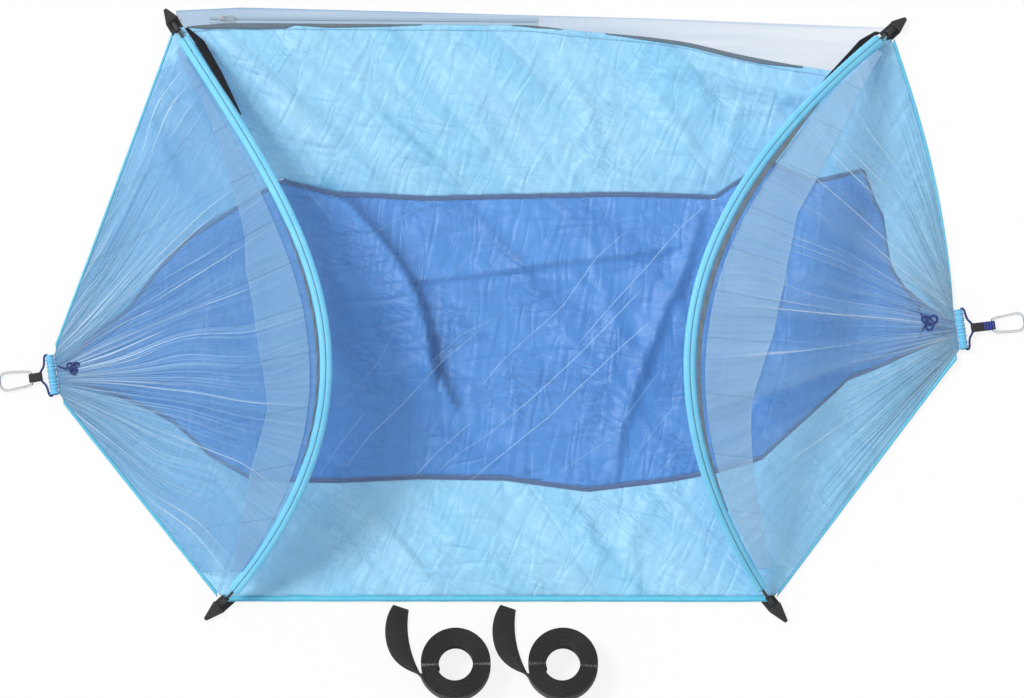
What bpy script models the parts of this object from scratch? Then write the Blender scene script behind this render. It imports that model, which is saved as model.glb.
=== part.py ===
"""Hammock tent: a hammock bed with two bent poles that lift a mosquito net over it.

It lies on the floor as it is laid out for a photograph: both arches lean inwards over the bed.
Metres, +Z up. +X runs from the left tree to the right one, +Y towards the back hem.
The origin is on the floor, under the middle of the whole object.
"""

import math

import bmesh
import bpy
import numpy as np
from mathutils import Vector

for old in list(bpy.data.objects):
    bpy.data.objects.remove(old)

# Clearances between neighbouring pieces
GAP = 0.0004
TIP_CLEARANCE = 0.0003

# Plan of the tent: where the four pole tips and the two gathered ends lie
BACK_LEFT = (-0.6806, 0.6741)
BACK_RIGHT = (0.7654, 0.6621)
FRONT_LEFT = (-0.5806, -0.5079)
FRONT_RIGHT = (0.5194, -0.5079)
LEFT_END = (-0.9192, -0.0434)
RIGHT_END = (0.8974, 0.0491)
LEFT_END_YAW = math.radians(188)
RIGHT_END_YAW = math.radians(8)
CORNER_INSET = 0.020
RIGHT_EDGE_BULGE = 0.018

# The back edge between the arches: how far it swings out (+) or in (-) at each of the bed's
# columns in that bay, as shares of one length
BAY_COLUMNS = 14
BACK_EDGE_DEPTH = 0.082
BACK_EDGE_POWER = 6
BACK_EDGE_SHARES = (0.0, 0.11, 0.12, 0.12, 0.12, 0.12, 0.12, 0.12,
                    -0.03, -0.12, -0.27, -0.58, -0.81, -1.0, 0.0)

# Cloth
BED_THICKNESS = 0.0020
HEM_WIDTH = 0.012
HEM_THICKNESS = 0.0026
HEM_JOINT = 0.010
SEAM_WIDTH = 0.009
FAN_FOLD = 0.016
FAN_PLEATS = 7
END_RISE_POWER = 6
CENTER_ROWS = 10
SIDE_ROWS = 5

# Where the two lengthwise seams cross, over three bays from end to end, as shares of the width
SEAM_PLACES_SHARES = (0.0, 0.5, 0.64, 0.79, 1.0, 1.071, 1.143, 1.214, 1.357, 1.5, 1.643,
                      1.786, 1.857, 1.929, 2.0, 2.143, 2.214, 2.357, 2.5, 2.75, 3.0)
BACK_SEAM_SHARES = (0.64, 0.602, 0.62, 0.636, 0.636, 0.686, 0.736, 0.714, 0.706, 0.711, 0.718,
                    0.718, 0.790, 0.755, 0.762, 0.735, 0.728, 0.644, 0.615, 0.596, 0.62)
FRONT_SEAM_SHARES = (0.36, 0.31, 0.30, 0.285, 0.25, 0.206, 0.204, 0.203, 0.210, 0.208, 0.188,
                     0.207, 0.222, 0.245, 0.33, 0.352, 0.368, 0.368, 0.37, 0.383, 0.39)

# Main folds of the bed: two ends in the plan's own shares, then shares of the rise and the width
FOLD_RISE = 0.012
FOLD_HALF_WIDTH = 0.040
BED_FOLD_SHARES = (
    ((1.21, 0.69), (1.33, 0.56), 1.0, 1.0),
    ((1.33, 0.56), (1.37, 0.39), 1.0, 1.0),
    ((1.37, 0.39), (1.41, 0.32), 0.67, 0.88),
    ((1.34, 0.55), (1.73, 0.61), 0.58, 1.0),
    ((1.77, 0.66), (1.69, 0.29), 0.75, 1.0),
    ((1.26, 0.30), (1.45, 0.46), 0.5, 0.88),
)

# Netting
NET_THICKNESS = 0.0012
NET_SEWING_GAP = 0.0016
NET_CLEARANCE = 0.0006
NET_FOLD = 0.010
NET_ENDS_SHARES = (0.045, 0.955)
GATHER_TURN_SHARES = (0.40, 0.60)
GATHER_RISE_SHARES = (0.25, 0.40, 0.60, 0.75)
END_NET_RIPPLES = 4
END_NET_COLUMNS = 8
NET_ROWS = 22
FLAP_COLUMNS = 2
FLAP_LIFT = 0.0032
FLAP_STOP_SHARE = 0.965
FLAP_PLACES_SHARES = (0.0, 0.25, 0.5, 0.75, 1.0)
FLAP_INNER_SHARES = (0.70, 0.66, 0.72, 0.66, 0.80)
ROOF_ENDS_SHARES = (0.013, 0.987)
ROOF_MIDDLE = 0.100
ROOF_SPLIT_SHARE = 0.0005
ROOF_RIPPLES = 3
ROOF_SPREAD = 6
ROOF_COLUMNS = 8
ROOF_ROWS = 16

# Arches
LEFT_RISE = 0.3365
RIGHT_RISE = 0.3729
LEAN = math.radians(45)
LEFT_SKEW_SHARE = 0.465
RIGHT_SKEW_SHARE = 0.255
ARCH_FULLNESS = 0.95
POLE_RADIUS = 0.0030
BORE_CLEARANCE = 0.0008
FERRULE_WALL = 0.0009
FERRULE_RADIUS = POLE_RADIUS + BORE_CLEARANCE + FERRULE_WALL
FERRULE_LENGTH = 0.070
TIP_WALL = 0.0012
TIP_RADIUS = POLE_RADIUS + BORE_CLEARANCE + TIP_WALL
TIP_LENGTH = 0.022
SLEEVE_WALL = 0.0010
SLEEVE_ROOM = 0.0015
SLEEVE_HALF_WIDTH = 0.0130
SLEEVE_HALF_HEIGHT = FERRULE_RADIUS + SLEEVE_ROOM + SLEEVE_WALL
SLEEVE_START = 0.046
POLE_SECTIONS = 3
POLE_RINGS = 15
POLE_SIDES = 6
FERRULE_RINGS = 5
TIP_SIDES = 12
TIP_ARC_STEPS = 4
SLEEVE_RINGS = 28
ROUND_SIDES = 8
ARCH_SAMPLES = 400

# Corner pockets
POCKET_WALL = 0.0020
POCKET_WIDTH = 0.028
POCKET_OUT = 0.022
POCKET_IN = 0.026
POCKET_BEND_STEPS = 8

# Gathered ends
CHANNEL_LENGTH = 0.080
CHANNEL_HALF_WIDTH = 0.0085
CHANNEL_HALF_HEIGHT = 0.0080
CHANNEL_WALL = 0.0012
CHANNEL_PLEAT = 0.0009
CHANNEL_PLEATS = 6
CHANNEL_Z = 0.0098
CORD_RADIUS = 0.0024
CORD_REACH = 0.0150
CORD_BEND = 0.008
LEFT_WEB_LENGTH = 0.018
RIGHT_WEB_LENGTH = 0.040
WEB_WIDTH = 0.017
WEB_THICKNESS = 0.0018
WEB_TURN_POINTS = 9

# Carabiners
BAR_RADIUS = 0.0029
CARABINER_LENGTH = 0.070
CARABINER_INNER_WIDTH = 0.028
CARABINER_OUTER_WIDTH = 0.036
CARABINER_CORNER = 0.005
CARABINER_ROUND_SHARE = 0.8
CARABINER_TAPER_SHARE = 0.625
GATE_START = 0.012
GATE_LENGTH = 0.036
GATE_RADIUS = 0.0026
RIVET_RADIUS = 0.0008
RIVET_HOLE_SIDES = 10
TONGUE_THICKNESS = 0.0022
TONGUE_FRONT = 0.0022
TONGUE_BACK = 0.0036
SLOT_RUN = 0.0080
EAR_REACH = 0.0026
GATE_NOSE_GAP = 0.0005

# Zip along the back hem
ZIP_START = 0.070
ZIP_LENGTH = 0.660
ZIP_TAPE_WIDTH = 0.018
ZIP_TAPE_THICKNESS = 0.0010
COIL_WIDTH = 0.0050
COIL_HEIGHT = 0.0018
SLIDER_LENGTH = 0.011
SLIDER_WALL = 0.0012
SLIDER_PLACE = 0.020
PULL_LENGTH = 0.026
PULL_WIDTH = 0.0085
PULL_WIRE = 0.0008
PULL_BAR_SHARE = 0.6
PULL_SHOULDER_SHARE = 0.4
BRIDGE_HEIGHT = 0.0040
BRIDGE_WIRE = 0.0007
BRIDGE_FOOT_SHARE = 0.32
BRIDGE_SHARES = ((-1.0, 0.0), (-1.0, 0.55), (-0.7, 0.9), (0.0, 1.0), (0.7, 0.9), (1.0, 0.55), (1.0, 0.0))

# Rolled tree straps
STRAP_WIDTH = 0.050
STRAP_FOLDED_THICKNESS = 0.0038
STRAP_PITCH = 0.0051
STRAP_TURNS = 7
ROLL_OUTER_RADIUS = 0.0730
LEFT_ROLL = (-0.1136, -0.6291)
ROLL_SPACING = 0.2134
ROLL_END_ANGLE = math.radians(200)
TURN_STEPS = 20
TAIL_LENGTH = 0.140
TAIL_HEADING = math.radians(121)
TAIL_TURN = math.radians(38)
TAIL_TWIST = math.radians(62)
TAIL_TWIST_SHARE = 0.8
TAIL_LIFT_SHARE = 1.2
TAIL_STEPS = 14


def material(name, colour, roughness, metallic=0.0, alpha=1.0):
    """A Principled finish for one sub-part."""
    made = bpy.data.materials.new(name)
    made.use_nodes = True
    shader = made.node_tree.nodes["Principled BSDF"]
    shader.inputs["Base Color"].default_value = (*colour, 1.0)
    shader.inputs["Roughness"].default_value = roughness
    shader.inputs["Metallic"].default_value = metallic
    shader.inputs["Alpha"].default_value = alpha
    return made


LIGHT_BLUE = material("light_blue_nylon", (0.30, 0.66, 0.91), 0.45)
DARK_BLUE = material("dark_blue_nylon", (0.10, 0.28, 0.68), 0.45)
CYAN = material("cyan_nylon", (0.15, 0.63, 0.83), 0.4)
GREY_TAPE = material("grey_seam_tape", (0.12, 0.16, 0.22), 0.7)
NETTING = material("white_netting", (0.85, 0.88, 0.92), 0.8, 0.0, 0.4)
WEBBING = material("black_webbing", (0.03, 0.03, 0.033), 0.8)
CORD_BLUE = material("navy_cord", (0.02, 0.05, 0.30), 0.7)
FIBREGLASS = material("fibreglass_rod", (0.05, 0.05, 0.055), 0.4)
STEEL = material("polished_steel", (0.75, 0.75, 0.76), 0.2, 1.0)
BLACK_PLASTIC = material("black_plastic", (0.02, 0.02, 0.022), 0.4)


def lerp(first, second, share):
    """The point a share of the way from the first to the second."""
    return first + (second - first) * share


def unit(vector):
    """The vector at length one."""
    return vector / np.linalg.norm(vector)


def add_object(name, mesh_data, finish, origin=(0, 0, 0)):
    """A finished bmesh as a named object, its faces pointing out, its origin where asked."""
    bmesh.ops.recalc_face_normals(mesh_data, faces=mesh_data.faces[:])
    bmesh.ops.translate(mesh_data, verts=mesh_data.verts[:], vec=-Vector(origin))
    mesh = bpy.data.meshes.new(name)
    mesh_data.to_mesh(mesh)
    mesh_data.free()
    mesh.materials.append(finish)
    made = bpy.data.objects.new(name, mesh)
    made.location = Vector(origin)
    bpy.context.scene.collection.objects.link(made)
    return made


def quads(mesh_data, rows, wrap_rows=False, wrap_columns=False):
    """Quads between neighbouring rows of vertices; the rows are returned."""
    grid = [[mesh_data.verts.new(Vector(point)) for point in row] for row in rows]
    row_count = len(grid)
    column_count = len(grid[0])
    for i in range(row_count if wrap_rows else row_count - 1):
        for j in range(column_count if wrap_columns else column_count - 1):
            near = grid[i]
            far = grid[(i + 1) % row_count]
            k = (j + 1) % column_count
            mesh_data.faces.new((near[j], near[k], far[k], far[j]))
    return grid


def cloth(name, rows, thickness, finish):
    """A sheet through rows of points, drawn straight up into one closed body."""
    mesh_data = bmesh.new()
    quads(mesh_data, rows)
    drawn = bmesh.ops.extrude_face_region(mesh_data, geom=mesh_data.faces[:], use_keep_orig=True)
    lifted = [item for item in drawn["geom"] if isinstance(item, bmesh.types.BMVert)]
    bmesh.ops.translate(mesh_data, verts=lifted, vec=Vector((0.0, 0.0, thickness)))
    return add_object(name, mesh_data, finish)


def swept(mesh_data, path, profile, closed=False, ups=None):
    """A closed profile carried along a path: its first axis across, its second along up."""
    path = [np.array(point, float) for point in path]
    count = len(path)
    rows = []
    for i, point in enumerate(path):
        before = path[i - 1] if closed else path[max(i - 1, 0)]
        after = path[(i + 1) % count] if closed else path[min(i + 1, count - 1)]
        along = unit(after - before)
        up = np.array((0.0, 0.0, 1.0)) if ups is None else np.array(ups[i], float)
        across = unit(np.cross(along, up))
        up = np.cross(across, along)
        shape = profile(i) if callable(profile) else profile
        rows.append([point + across * aside + up * above for aside, above in shape])
    grid = quads(mesh_data, rows, wrap_rows=closed, wrap_columns=True)
    if not closed:
        mesh_data.faces.new(grid[0])
        mesh_data.faces.new(grid[-1])
    return grid


def ellipse(half_width, half_height, sides):
    """An ellipse's corners, with a flat at the bottom and at the top."""
    angles = [2 * math.pi * (i + 0.5) / sides for i in range(sides)]
    return [(half_width * math.sin(angle), half_height * math.cos(angle)) for angle in angles]


def facet(radius):
    """How far the flats of an eight-sided section lie from its middle."""
    return radius * math.cos(math.pi / 8)


def rectangle(half_width, half_height):
    """A rectangle's four corners."""
    return [(-half_width, -half_height), (half_width, -half_height),
            (half_width, half_height), (-half_width, half_height)]


def rod(name, path, radius, sides, finish, closed=False, ups=None, origin=(0, 0, 0)):
    """A round rod along a path."""
    mesh_data = bmesh.new()
    swept(mesh_data, path, ellipse(radius, radius, sides), closed, ups)
    return add_object(name, mesh_data, finish, origin)


# Bed: four stations across the hammock, each from its front edge to its back edge

UP = np.array((0.0, 0.0, 1.0))
BED_LIFT = POCKET_WALL + GAP
HINGE_Z = POCKET_WALL + TIP_CLEARANCE + TIP_RADIUS


def tip(corner):
    """A pole tip's centre, where it stands in its pocket."""
    return np.array((*corner, HINGE_Z))


def end_axes(yaw):
    """An end's outward direction and its sideways one."""
    out = np.array((math.cos(yaw), math.sin(yaw), 0.0))
    return out, np.cross(UP, out)


def chord_station(front, back):
    """The bed's edge points beside two pole tips."""
    front = np.array((*front, 0.0))
    back = np.array((*back, 0.0))
    inset = unit(back - front) * CORNER_INSET
    return front + inset, back - inset


def gather_station(end, yaw):
    """The bed's narrow edge beside its end channel, front point first."""
    out, side = end_axes(yaw)
    middle = np.array((*end, 0.0)) - out * (facet(CHANNEL_HALF_WIDTH + CHANNEL_PLEAT) + GAP)
    front = middle - side * CHANNEL_LENGTH / 2
    back = middle + side * CHANNEL_LENGTH / 2
    return (back, front) if front[1] > back[1] else (front, back)


STATIONS = (
    gather_station(LEFT_END, LEFT_END_YAW),
    chord_station(FRONT_LEFT, BACK_LEFT),
    chord_station(FRONT_RIGHT, BACK_RIGHT),
    gather_station(RIGHT_END, RIGHT_END_YAW),
)

def edge_point(u, v):
    """The flat plan of the bed: u runs from end to end over three bays, v from front to back."""
    bay = min(int(u + 1e-9), len(STATIONS) - 2)
    t = u - bay
    front = lerp(STATIONS[bay][0], STATIONS[bay + 1][0], t)
    back = lerp(STATIONS[bay][1], STATIONS[bay + 1][1], t)
    point = lerp(front, back, v)
    if bay == len(STATIONS) - 2:
        out, _ = end_axes(RIGHT_END_YAW)
        point = point + out * RIGHT_EDGE_BULGE * math.sin(math.pi * t) * max(v, 0.0) ** 2
    if bay == 1:
        outward = unit(np.cross(UP, STATIONS[2][1] - STATIONS[1][1]))
        swing = float(np.interp(t, np.linspace(0.0, 1.0, BAY_COLUMNS + 1), BACK_EDGE_SHARES))
        point = point + outward * BACK_EDGE_DEPTH * swing * min(max(v, 0.0), 1.0) ** BACK_EDGE_POWER
    return point


def width_at(u):
    """The bed's width at u."""
    return float(np.linalg.norm(edge_point(u, 1.0) - edge_point(u, 0.0)))


FOLDS = [(edge_point(*start)[:2], edge_point(*end)[:2], FOLD_RISE * rise, FOLD_HALF_WIDTH * width)
         for start, end, rise, width in BED_FOLD_SHARES]


def fold_height(point):
    """How high the main folds lift the cloth at a point of the plan."""
    height = 0.0
    for start, end, rise, half_width in FOLDS:
        run = end - start
        t = float(np.clip(np.dot(point[:2] - start, run) / np.dot(run, run), 0.0, 1.0))
        distance = float(np.linalg.norm(point[:2] - start - run * t))
        height = max(height, rise * math.exp(-((distance / half_width) ** 2)))
    return height


def end_share(u):
    """One at a gathered end, falling to nothing at the arches."""
    return max(1.0 - u, u - (len(STATIONS) - 2), 0.0)


def bed_height(u, v, swell):
    """The cloth's underside: fan pleats at the ends, main folds between, none at a seam."""
    t = end_share(u)
    rise = (CHANNEL_Z - BED_THICKNESS / 2 - BED_LIFT) * t**END_RISE_POWER
    pleats = FAN_FOLD * t**2 * (1 - t) * (1 - math.cos(2 * math.pi * FAN_PLEATS * v))
    folds = fold_height(edge_point(u, v)) * (1 - t)
    return BED_LIFT + rise + (pleats + folds) * swell


BED_COLUMNS = [i / BAY_COLUMNS for i in range(3 * BAY_COLUMNS + 1)]


def bed_panel(name, low, high, rows, finish):
    """One panel between two edges, each a function of u that gives v."""
    made = []
    for u in BED_COLUMNS:
        line = []
        for j in range(rows + 1):
            w = j / rows
            v = lerp(low(u), high(u), w)
            point = edge_point(u, v)
            point[2] = bed_height(u, v, math.sin(math.pi * w))
            line.append(point)
        made.append(line)
    return cloth(name, made, BED_THICKNESS, finish)


def seam_share(shares, offset):
    """A seam's place as a function of u, moved sideways by an offset in metres."""
    return lambda u: float(np.interp(u, SEAM_PLACES_SHARES, shares)) + offset / width_at(u)


def strip(name, middle, u_low, u_high, width, thickness, finish):
    """A flat strip of cloth along the bed's own columns, its middle line given as v."""
    rows = []
    for u in [u_low] + [place for place in BED_COLUMNS if u_low < place < u_high] + [u_high]:
        half = width / 2 / width_at(u)
        line = []
        for v in (middle(u) - half, middle(u) + half):
            point = edge_point(u, v)
            point[2] = bed_height(u, v, 0.0)
            line.append(point)
        rows.append(line)
    return cloth(name, rows, thickness, finish)


PANEL_EDGE = SEAM_WIDTH / 2 + GAP
bed_panel("bed_center_panel", seam_share(FRONT_SEAM_SHARES, PANEL_EDGE),
          seam_share(BACK_SEAM_SHARES, -PANEL_EDGE), CENTER_ROWS, DARK_BLUE)
bed_panel("bed_back_panel", seam_share(BACK_SEAM_SHARES, PANEL_EDGE), lambda u: 1.0,
          SIDE_ROWS, LIGHT_BLUE)
bed_panel("bed_front_panel", lambda u: 0.0, seam_share(FRONT_SEAM_SHARES, -PANEL_EDGE),
          SIDE_ROWS, LIGHT_BLUE)
for label, shares in (("back", BACK_SEAM_SHARES), ("front", FRONT_SEAM_SHARES)):
    strip(f"seam_tape_{label}", seam_share(shares, 0.0), 0.0, 3.0, SEAM_WIDTH, BED_THICKNESS, GREY_TAPE)

# Bound hems: one along each of the six edges, butted against the panels
HEM_MIDDLE = HEM_WIDTH / 2 + GAP
for label, side_v, outward in (("back", 1.0, 1.0), ("front", 0.0, -1.0)):
    for bay, place in enumerate(("left_", "", "right_")):
        bay_length = float(np.linalg.norm(edge_point(bay + 1.0, side_v) - edge_point(bay, side_v)))
        trim = HEM_JOINT / bay_length
        strip(f"hem_{place}{label}",
              lambda u, v=side_v, o=outward: v + o * HEM_MIDDLE / width_at(u),
              bay + trim, bay + 1 - trim, HEM_WIDTH, HEM_THICKNESS, CYAN)


# Arches: a bent pole between two tips, leaning over the bed

class Arch:
    """One arch's curve: along its chord from the back tip, rising in its own plane."""

    def __init__(self, back, front, rise, skew, inward):
        self.back = tip(back)
        self.front = tip(front)
        self.rise = rise
        self.skew = skew
        self.along = unit(self.front - self.back)
        self.length = float(np.linalg.norm(self.front - self.back))
        level = np.cross(UP, self.along)
        self.level = level if level[0] * inward > 0 else -level
        self.rising = self.level * math.cos(LEAN) + UP * math.sin(LEAN)

    def at(self, s):
        """The pole's middle line at a share s of the chord."""
        full = max(4 * s * (1 - s), 0.0) ** ARCH_FULLNESS
        height = self.rise * full * (1 + self.skew * (2 * s - 1))
        return self.back + self.along * self.length * s + self.rising * height

    def path(self, start, end, count):
        """Points from start to end, both lengths along the curve; a negative end is from the far tip."""
        places = np.linspace(0.0, 1.0, ARCH_SAMPLES + 1)
        fine = [self.at(float(s)) for s in places]
        run = [0.0]
        for here, following in zip(fine, fine[1:]):
            run.append(run[-1] + float(np.linalg.norm(following - here)))
        self.run = run[-1]
        stop = end if end > 0 else self.run + end
        shares = np.interp(np.linspace(start, stop, count), run, places)
        return [self.at(float(s)) for s in shares]


ARCHES = {
    "left": Arch(BACK_LEFT, FRONT_LEFT, LEFT_RISE, LEFT_SKEW_SHARE, 1),
    "right": Arch(BACK_RIGHT, FRONT_RIGHT, RIGHT_RISE, RIGHT_SKEW_SHARE, -1),
}


def turned(name, profile, origin, axis, steps, finish):
    """A closed profile of radius and height, turned round an axis through the origin."""
    mesh_data = bmesh.new()
    axis = unit(axis)
    across = unit(np.cross(axis, UP))
    other = np.cross(axis, across)
    rows = []
    for i in range(steps):
        angle = 2 * math.pi * i / steps
        spoke = across * math.cos(angle) + other * math.sin(angle)
        rows.append([origin + axis * height + spoke * radius for radius, height in profile])
    quads(mesh_data, rows, wrap_rows=True, wrap_columns=True)
    bmesh.ops.remove_doubles(mesh_data, verts=mesh_data.verts[:], dist=1e-6)
    return add_object(name, mesh_data, finish)


def pole_tip(name, arch, at_back):
    """A moulded cap with a ball end, its bore taking the rod's last centimetre."""
    centre = arch.back if at_back else arch.front
    inner = arch.path(0.0, TIP_LENGTH if at_back else -TIP_LENGTH, 3)[-1]
    axis = unit(inner - centre)
    bore = POLE_RADIUS + BORE_CLEARANCE
    profile = [(0.0, -TIP_RADIUS)]
    for i in range(1, TIP_ARC_STEPS + 1):
        angle = math.pi / 2 * i / TIP_ARC_STEPS
        profile.append((TIP_RADIUS * math.sin(angle), -TIP_RADIUS * math.cos(angle)))
    profile += [(TIP_RADIUS, TIP_LENGTH), (bore, TIP_LENGTH), (bore, TIP_RADIUS), (0.0, TIP_RADIUS)]
    return turned(name, profile, centre, axis, TIP_SIDES, BLACK_PLASTIC)


def flat_tube(name, path, half_width, half_height, wall, sides, finish):
    """A flat fabric sleeve, open at both ends."""
    mesh_data = bmesh.new()
    outer = []
    inner = []
    for i, point in enumerate(path):
        along = unit(path[min(i + 1, len(path) - 1)] - path[max(i - 1, 0)])
        across = unit(np.cross(along, UP))
        up = np.cross(across, along)
        for ring, off in ((outer, 0.0), (inner, wall)):
            shape = ellipse(half_width - off, half_height - off, sides)
            ring.append([point + across * aside + up * above for aside, above in shape])
    rows = outer + inner[::-1]
    quads(mesh_data, rows, wrap_rows=True, wrap_columns=True)
    return add_object(name, mesh_data, finish)


for label, arch in ARCHES.items():
    sleeve_path = arch.path(SLEEVE_START, -SLEEVE_START, SLEEVE_RINGS)
    flat_tube(f"sleeve_{label}", sleeve_path, SLEEVE_HALF_WIDTH, SLEEVE_HALF_HEIGHT,
              SLEEVE_WALL, ROUND_SIDES, CYAN)
    for corner, at_back in (("back", True), ("front", False)):
        pole_tip(f"pole_tip_{label}_{corner}", arch, at_back)
    rod_start = TIP_RADIUS + TIP_CLEARANCE
    section = (arch.run - 2 * rod_start) / POLE_SECTIONS
    for i in range(POLE_SECTIONS):
        begin = rod_start + section * i + (GAP / 2 if i else 0.0)
        finish_at = rod_start + section * (i + 1) - (GAP / 2 if i < POLE_SECTIONS - 1 else 0.0)
        rod(f"pole_{label}_{i + 1}", arch.path(begin, finish_at, POLE_RINGS), POLE_RADIUS, POLE_SIDES,
            FIBREGLASS)
    for i in range(1, POLE_SECTIONS):
        middle = rod_start + section * i
        joint = arch.path(middle - FERRULE_LENGTH / 2, middle + FERRULE_LENGTH / 2, FERRULE_RINGS)
        flat_tube(f"ferrule_{label}_{i}", joint, FERRULE_RADIUS, FERRULE_RADIUS, FERRULE_WALL,
                  ROUND_SIDES, STEEL)


# Corner pockets: a folded webbing tab, open towards the pole

def pocket(name, corner, outward):
    """A C of webbing: a base under the tip, a fold behind it and a short top layer."""
    mesh_data = bmesh.new()
    centre = np.array((*corner, 0.0))
    outward = unit(outward)
    inner_radius = TIP_RADIUS + TIP_CLEARANCE
    bend = inner_radius + POCKET_WALL / 2
    middle_z = HINGE_Z
    path = [(-POCKET_IN, middle_z - bend), (POCKET_OUT - bend, middle_z - bend)]
    for i in range(1, POCKET_BEND_STEPS):
        angle = math.pi * i / POCKET_BEND_STEPS
        path.append((POCKET_OUT - bend + bend * math.sin(angle), middle_z - bend * math.cos(angle)))
    path += [(POCKET_OUT - bend, middle_z + bend), (TIP_RADIUS, middle_z + bend)]
    points = [centre + outward * reach + UP * height for reach, height in path]
    side = unit(np.cross(UP, outward))
    ups = [side] * len(points)
    swept(mesh_data, points, rectangle(POCKET_WALL / 2, POCKET_WIDTH / 2), ups=ups)
    return add_object(name, mesh_data, WEBBING)


def plan_heading(start, end):
    """The level direction from one point to another."""
    return unit((end - start) * (1.0, 1.0, 0.0))


for label, arch in ARCHES.items():
    inner_back = arch.path(0.0, TIP_LENGTH, 3)[-1]
    inner_front = arch.path(0.0, -TIP_LENGTH, 3)[-1]
    pocket(f"pocket_{label}_back", arch.back[:2], plan_heading(inner_back, arch.back))
    pocket(f"pocket_{label}_front", arch.front[:2], plan_heading(inner_front, arch.front))


# Netting: two end nets, two doubled flaps beside the sleeves, and a roof in two halves

NET_LIFT = BED_LIFT + HEM_THICKNESS + NET_CLEARANCE


def outline_point(place, v):
    """The outer edge of an end net: from the front corner round the gathered end to the back one."""
    gathered, chord = (0.0, 1.0) if place == "left" else (3.0, 2.0)
    low, high = GATHER_TURN_SHARES
    if v < low:
        return edge_point(lerp(chord, gathered, v / low), 0.0)
    if v > high:
        return edge_point(lerp(gathered, chord, (v - high) / (1 - high)), 1.0)
    return edge_point(gathered, (v - low) / (high - low))


def end_net_point(place, s, v, lift):
    """A point of an end net: s runs from its outer edge to the sleeve, v from front to back."""
    arch = ARCHES[place]
    target = arch.at(1.0 - v) - arch.level * (SLEEVE_HALF_WIDTH + NET_SEWING_GAP)
    start = outline_point(place, v)
    raised = float(np.interp(v, GATHER_RISE_SHARES, (0, 1, 1, 0)))
    start[2] = NET_LIFT + (CHANNEL_Z - BED_LIFT) * raised
    point = lerp(start, target, s)
    ripple = NET_FOLD * math.sin(math.pi * s) * math.sin(math.pi * v)
    point[2] += ripple * s * math.sin(2 * math.pi * END_NET_RIPPLES * v) + lift - NET_THICKNESS / 2 * s
    return point


def roof_point(t, w):
    """The roof net: t runs from the left sleeve to the right one, w from front hem to back hem."""
    left = ARCHES["left"]
    right = ARCHES["right"]
    spread = min(1.0, ROOF_SPREAD * t, ROOF_SPREAD * (1 - t))
    v = lerp(lerp(*NET_ENDS_SHARES, w), lerp(*ROOF_ENDS_SHARES, w), spread)
    side = SLEEVE_HALF_WIDTH + NET_SEWING_GAP
    from_left = left.at(1.0 - v) + left.level * side
    from_right = right.at(1.0 - v) + right.level * side
    point = lerp(from_left, from_right, t)
    crown = math.sin(math.pi * w)
    ripple = NET_FOLD * crown * math.sin(2 * math.pi * (ROOF_RIPPLES * t + 2 * w))
    low = NET_LIFT + ROOF_MIDDLE * crown + ripple
    point[2] = lerp(low, point[2] - NET_THICKNESS / 2, abs(2 * t - 1) ** 2)
    return point


def net_rows(columns, rows, point):
    """Rows of points over the unit square."""
    return [[point(i / columns, j / rows) for j in range(rows + 1)] for i in range(columns + 1)]


def flap_start(v):
    """Where a doubled flap begins, as a share of the way from the outer edge to the sleeve."""
    return float(np.interp(v, FLAP_PLACES_SHARES, FLAP_INNER_SHARES))


def flap_point(place, s, w):
    """A point of a doubled flap: s runs from its inner edge to just short of the sleeve."""
    share = lerp(flap_start(w), FLAP_STOP_SHARE, s)
    return end_net_point(place, share, lerp(*NET_ENDS_SHARES, w), FLAP_LIFT)


for label in ARCHES:
    rows = net_rows(END_NET_COLUMNS, NET_ROWS,
                    lambda s, w, place=label: end_net_point(place, s, lerp(*NET_ENDS_SHARES, w), 0.0))
    cloth(f"net_end_{label}", rows, NET_THICKNESS, NETTING)
    rows = net_rows(FLAP_COLUMNS, NET_ROWS, lambda s, w, place=label: flap_point(place, s, w))
    cloth(f"net_flap_{label}", rows, NET_THICKNESS, NETTING)
ROOF_HALVES = (("left", 0.0, 0.5 - ROOF_SPLIT_SHARE), ("right", 0.5 + ROOF_SPLIT_SHARE, 1.0))
for label, low_t, high_t in ROOF_HALVES:
    rows = net_rows(ROOF_COLUMNS, ROOF_ROWS,
                    lambda s, w, low=low_t, high=high_t: roof_point(lerp(low, high, s), w))
    cloth(f"net_roof_{label}", rows, NET_THICKNESS, NETTING)


# Zip along the back hem: tape, coil, slider and pull

def zip_axis():
    """The zip's straight line: its first point and its direction along the back hem."""
    corner = edge_point(1.0, 1.0)
    along = unit(edge_point(2.0, 1.0) - corner)
    outward = np.cross(UP, along)
    swing = BACK_EDGE_DEPTH * max(BACK_EDGE_SHARES)
    offset = swing + HEM_WIDTH + 2 * GAP + ZIP_TAPE_WIDTH / 2
    return corner + along * ZIP_START + outward * offset, along, outward


ZIP_FROM, ZIP_ALONG, ZIP_OUTWARD = zip_axis()


def zip_point(distance, outward, z):
    """A point beside the zip's middle line."""
    return ZIP_FROM + ZIP_ALONG * distance + ZIP_OUTWARD * outward + UP * z


def zip_band(name, start, stop, width, bottom, top, finish):
    """A flat band along the zip's middle line, from one length to another."""
    mesh_data = bmesh.new()
    middle = (bottom + top) / 2
    path = [zip_point(start, 0.0, middle), zip_point(stop, 0.0, middle)]
    swept(mesh_data, path, rectangle(width / 2, (top - bottom) / 2))
    return add_object(name, mesh_data, finish)


TAPE_TOP = BED_LIFT + ZIP_TAPE_THICKNESS
COIL_TOP = TAPE_TOP + GAP + COIL_HEIGHT
zip_band("zip_tape", 0.0, ZIP_LENGTH, ZIP_TAPE_WIDTH, BED_LIFT, TAPE_TOP, GREY_TAPE)
zip_band("zip_coil", GAP, ZIP_LENGTH - GAP, COIL_WIDTH, TAPE_TOP + GAP, COIL_TOP, GREY_TAPE)

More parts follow.
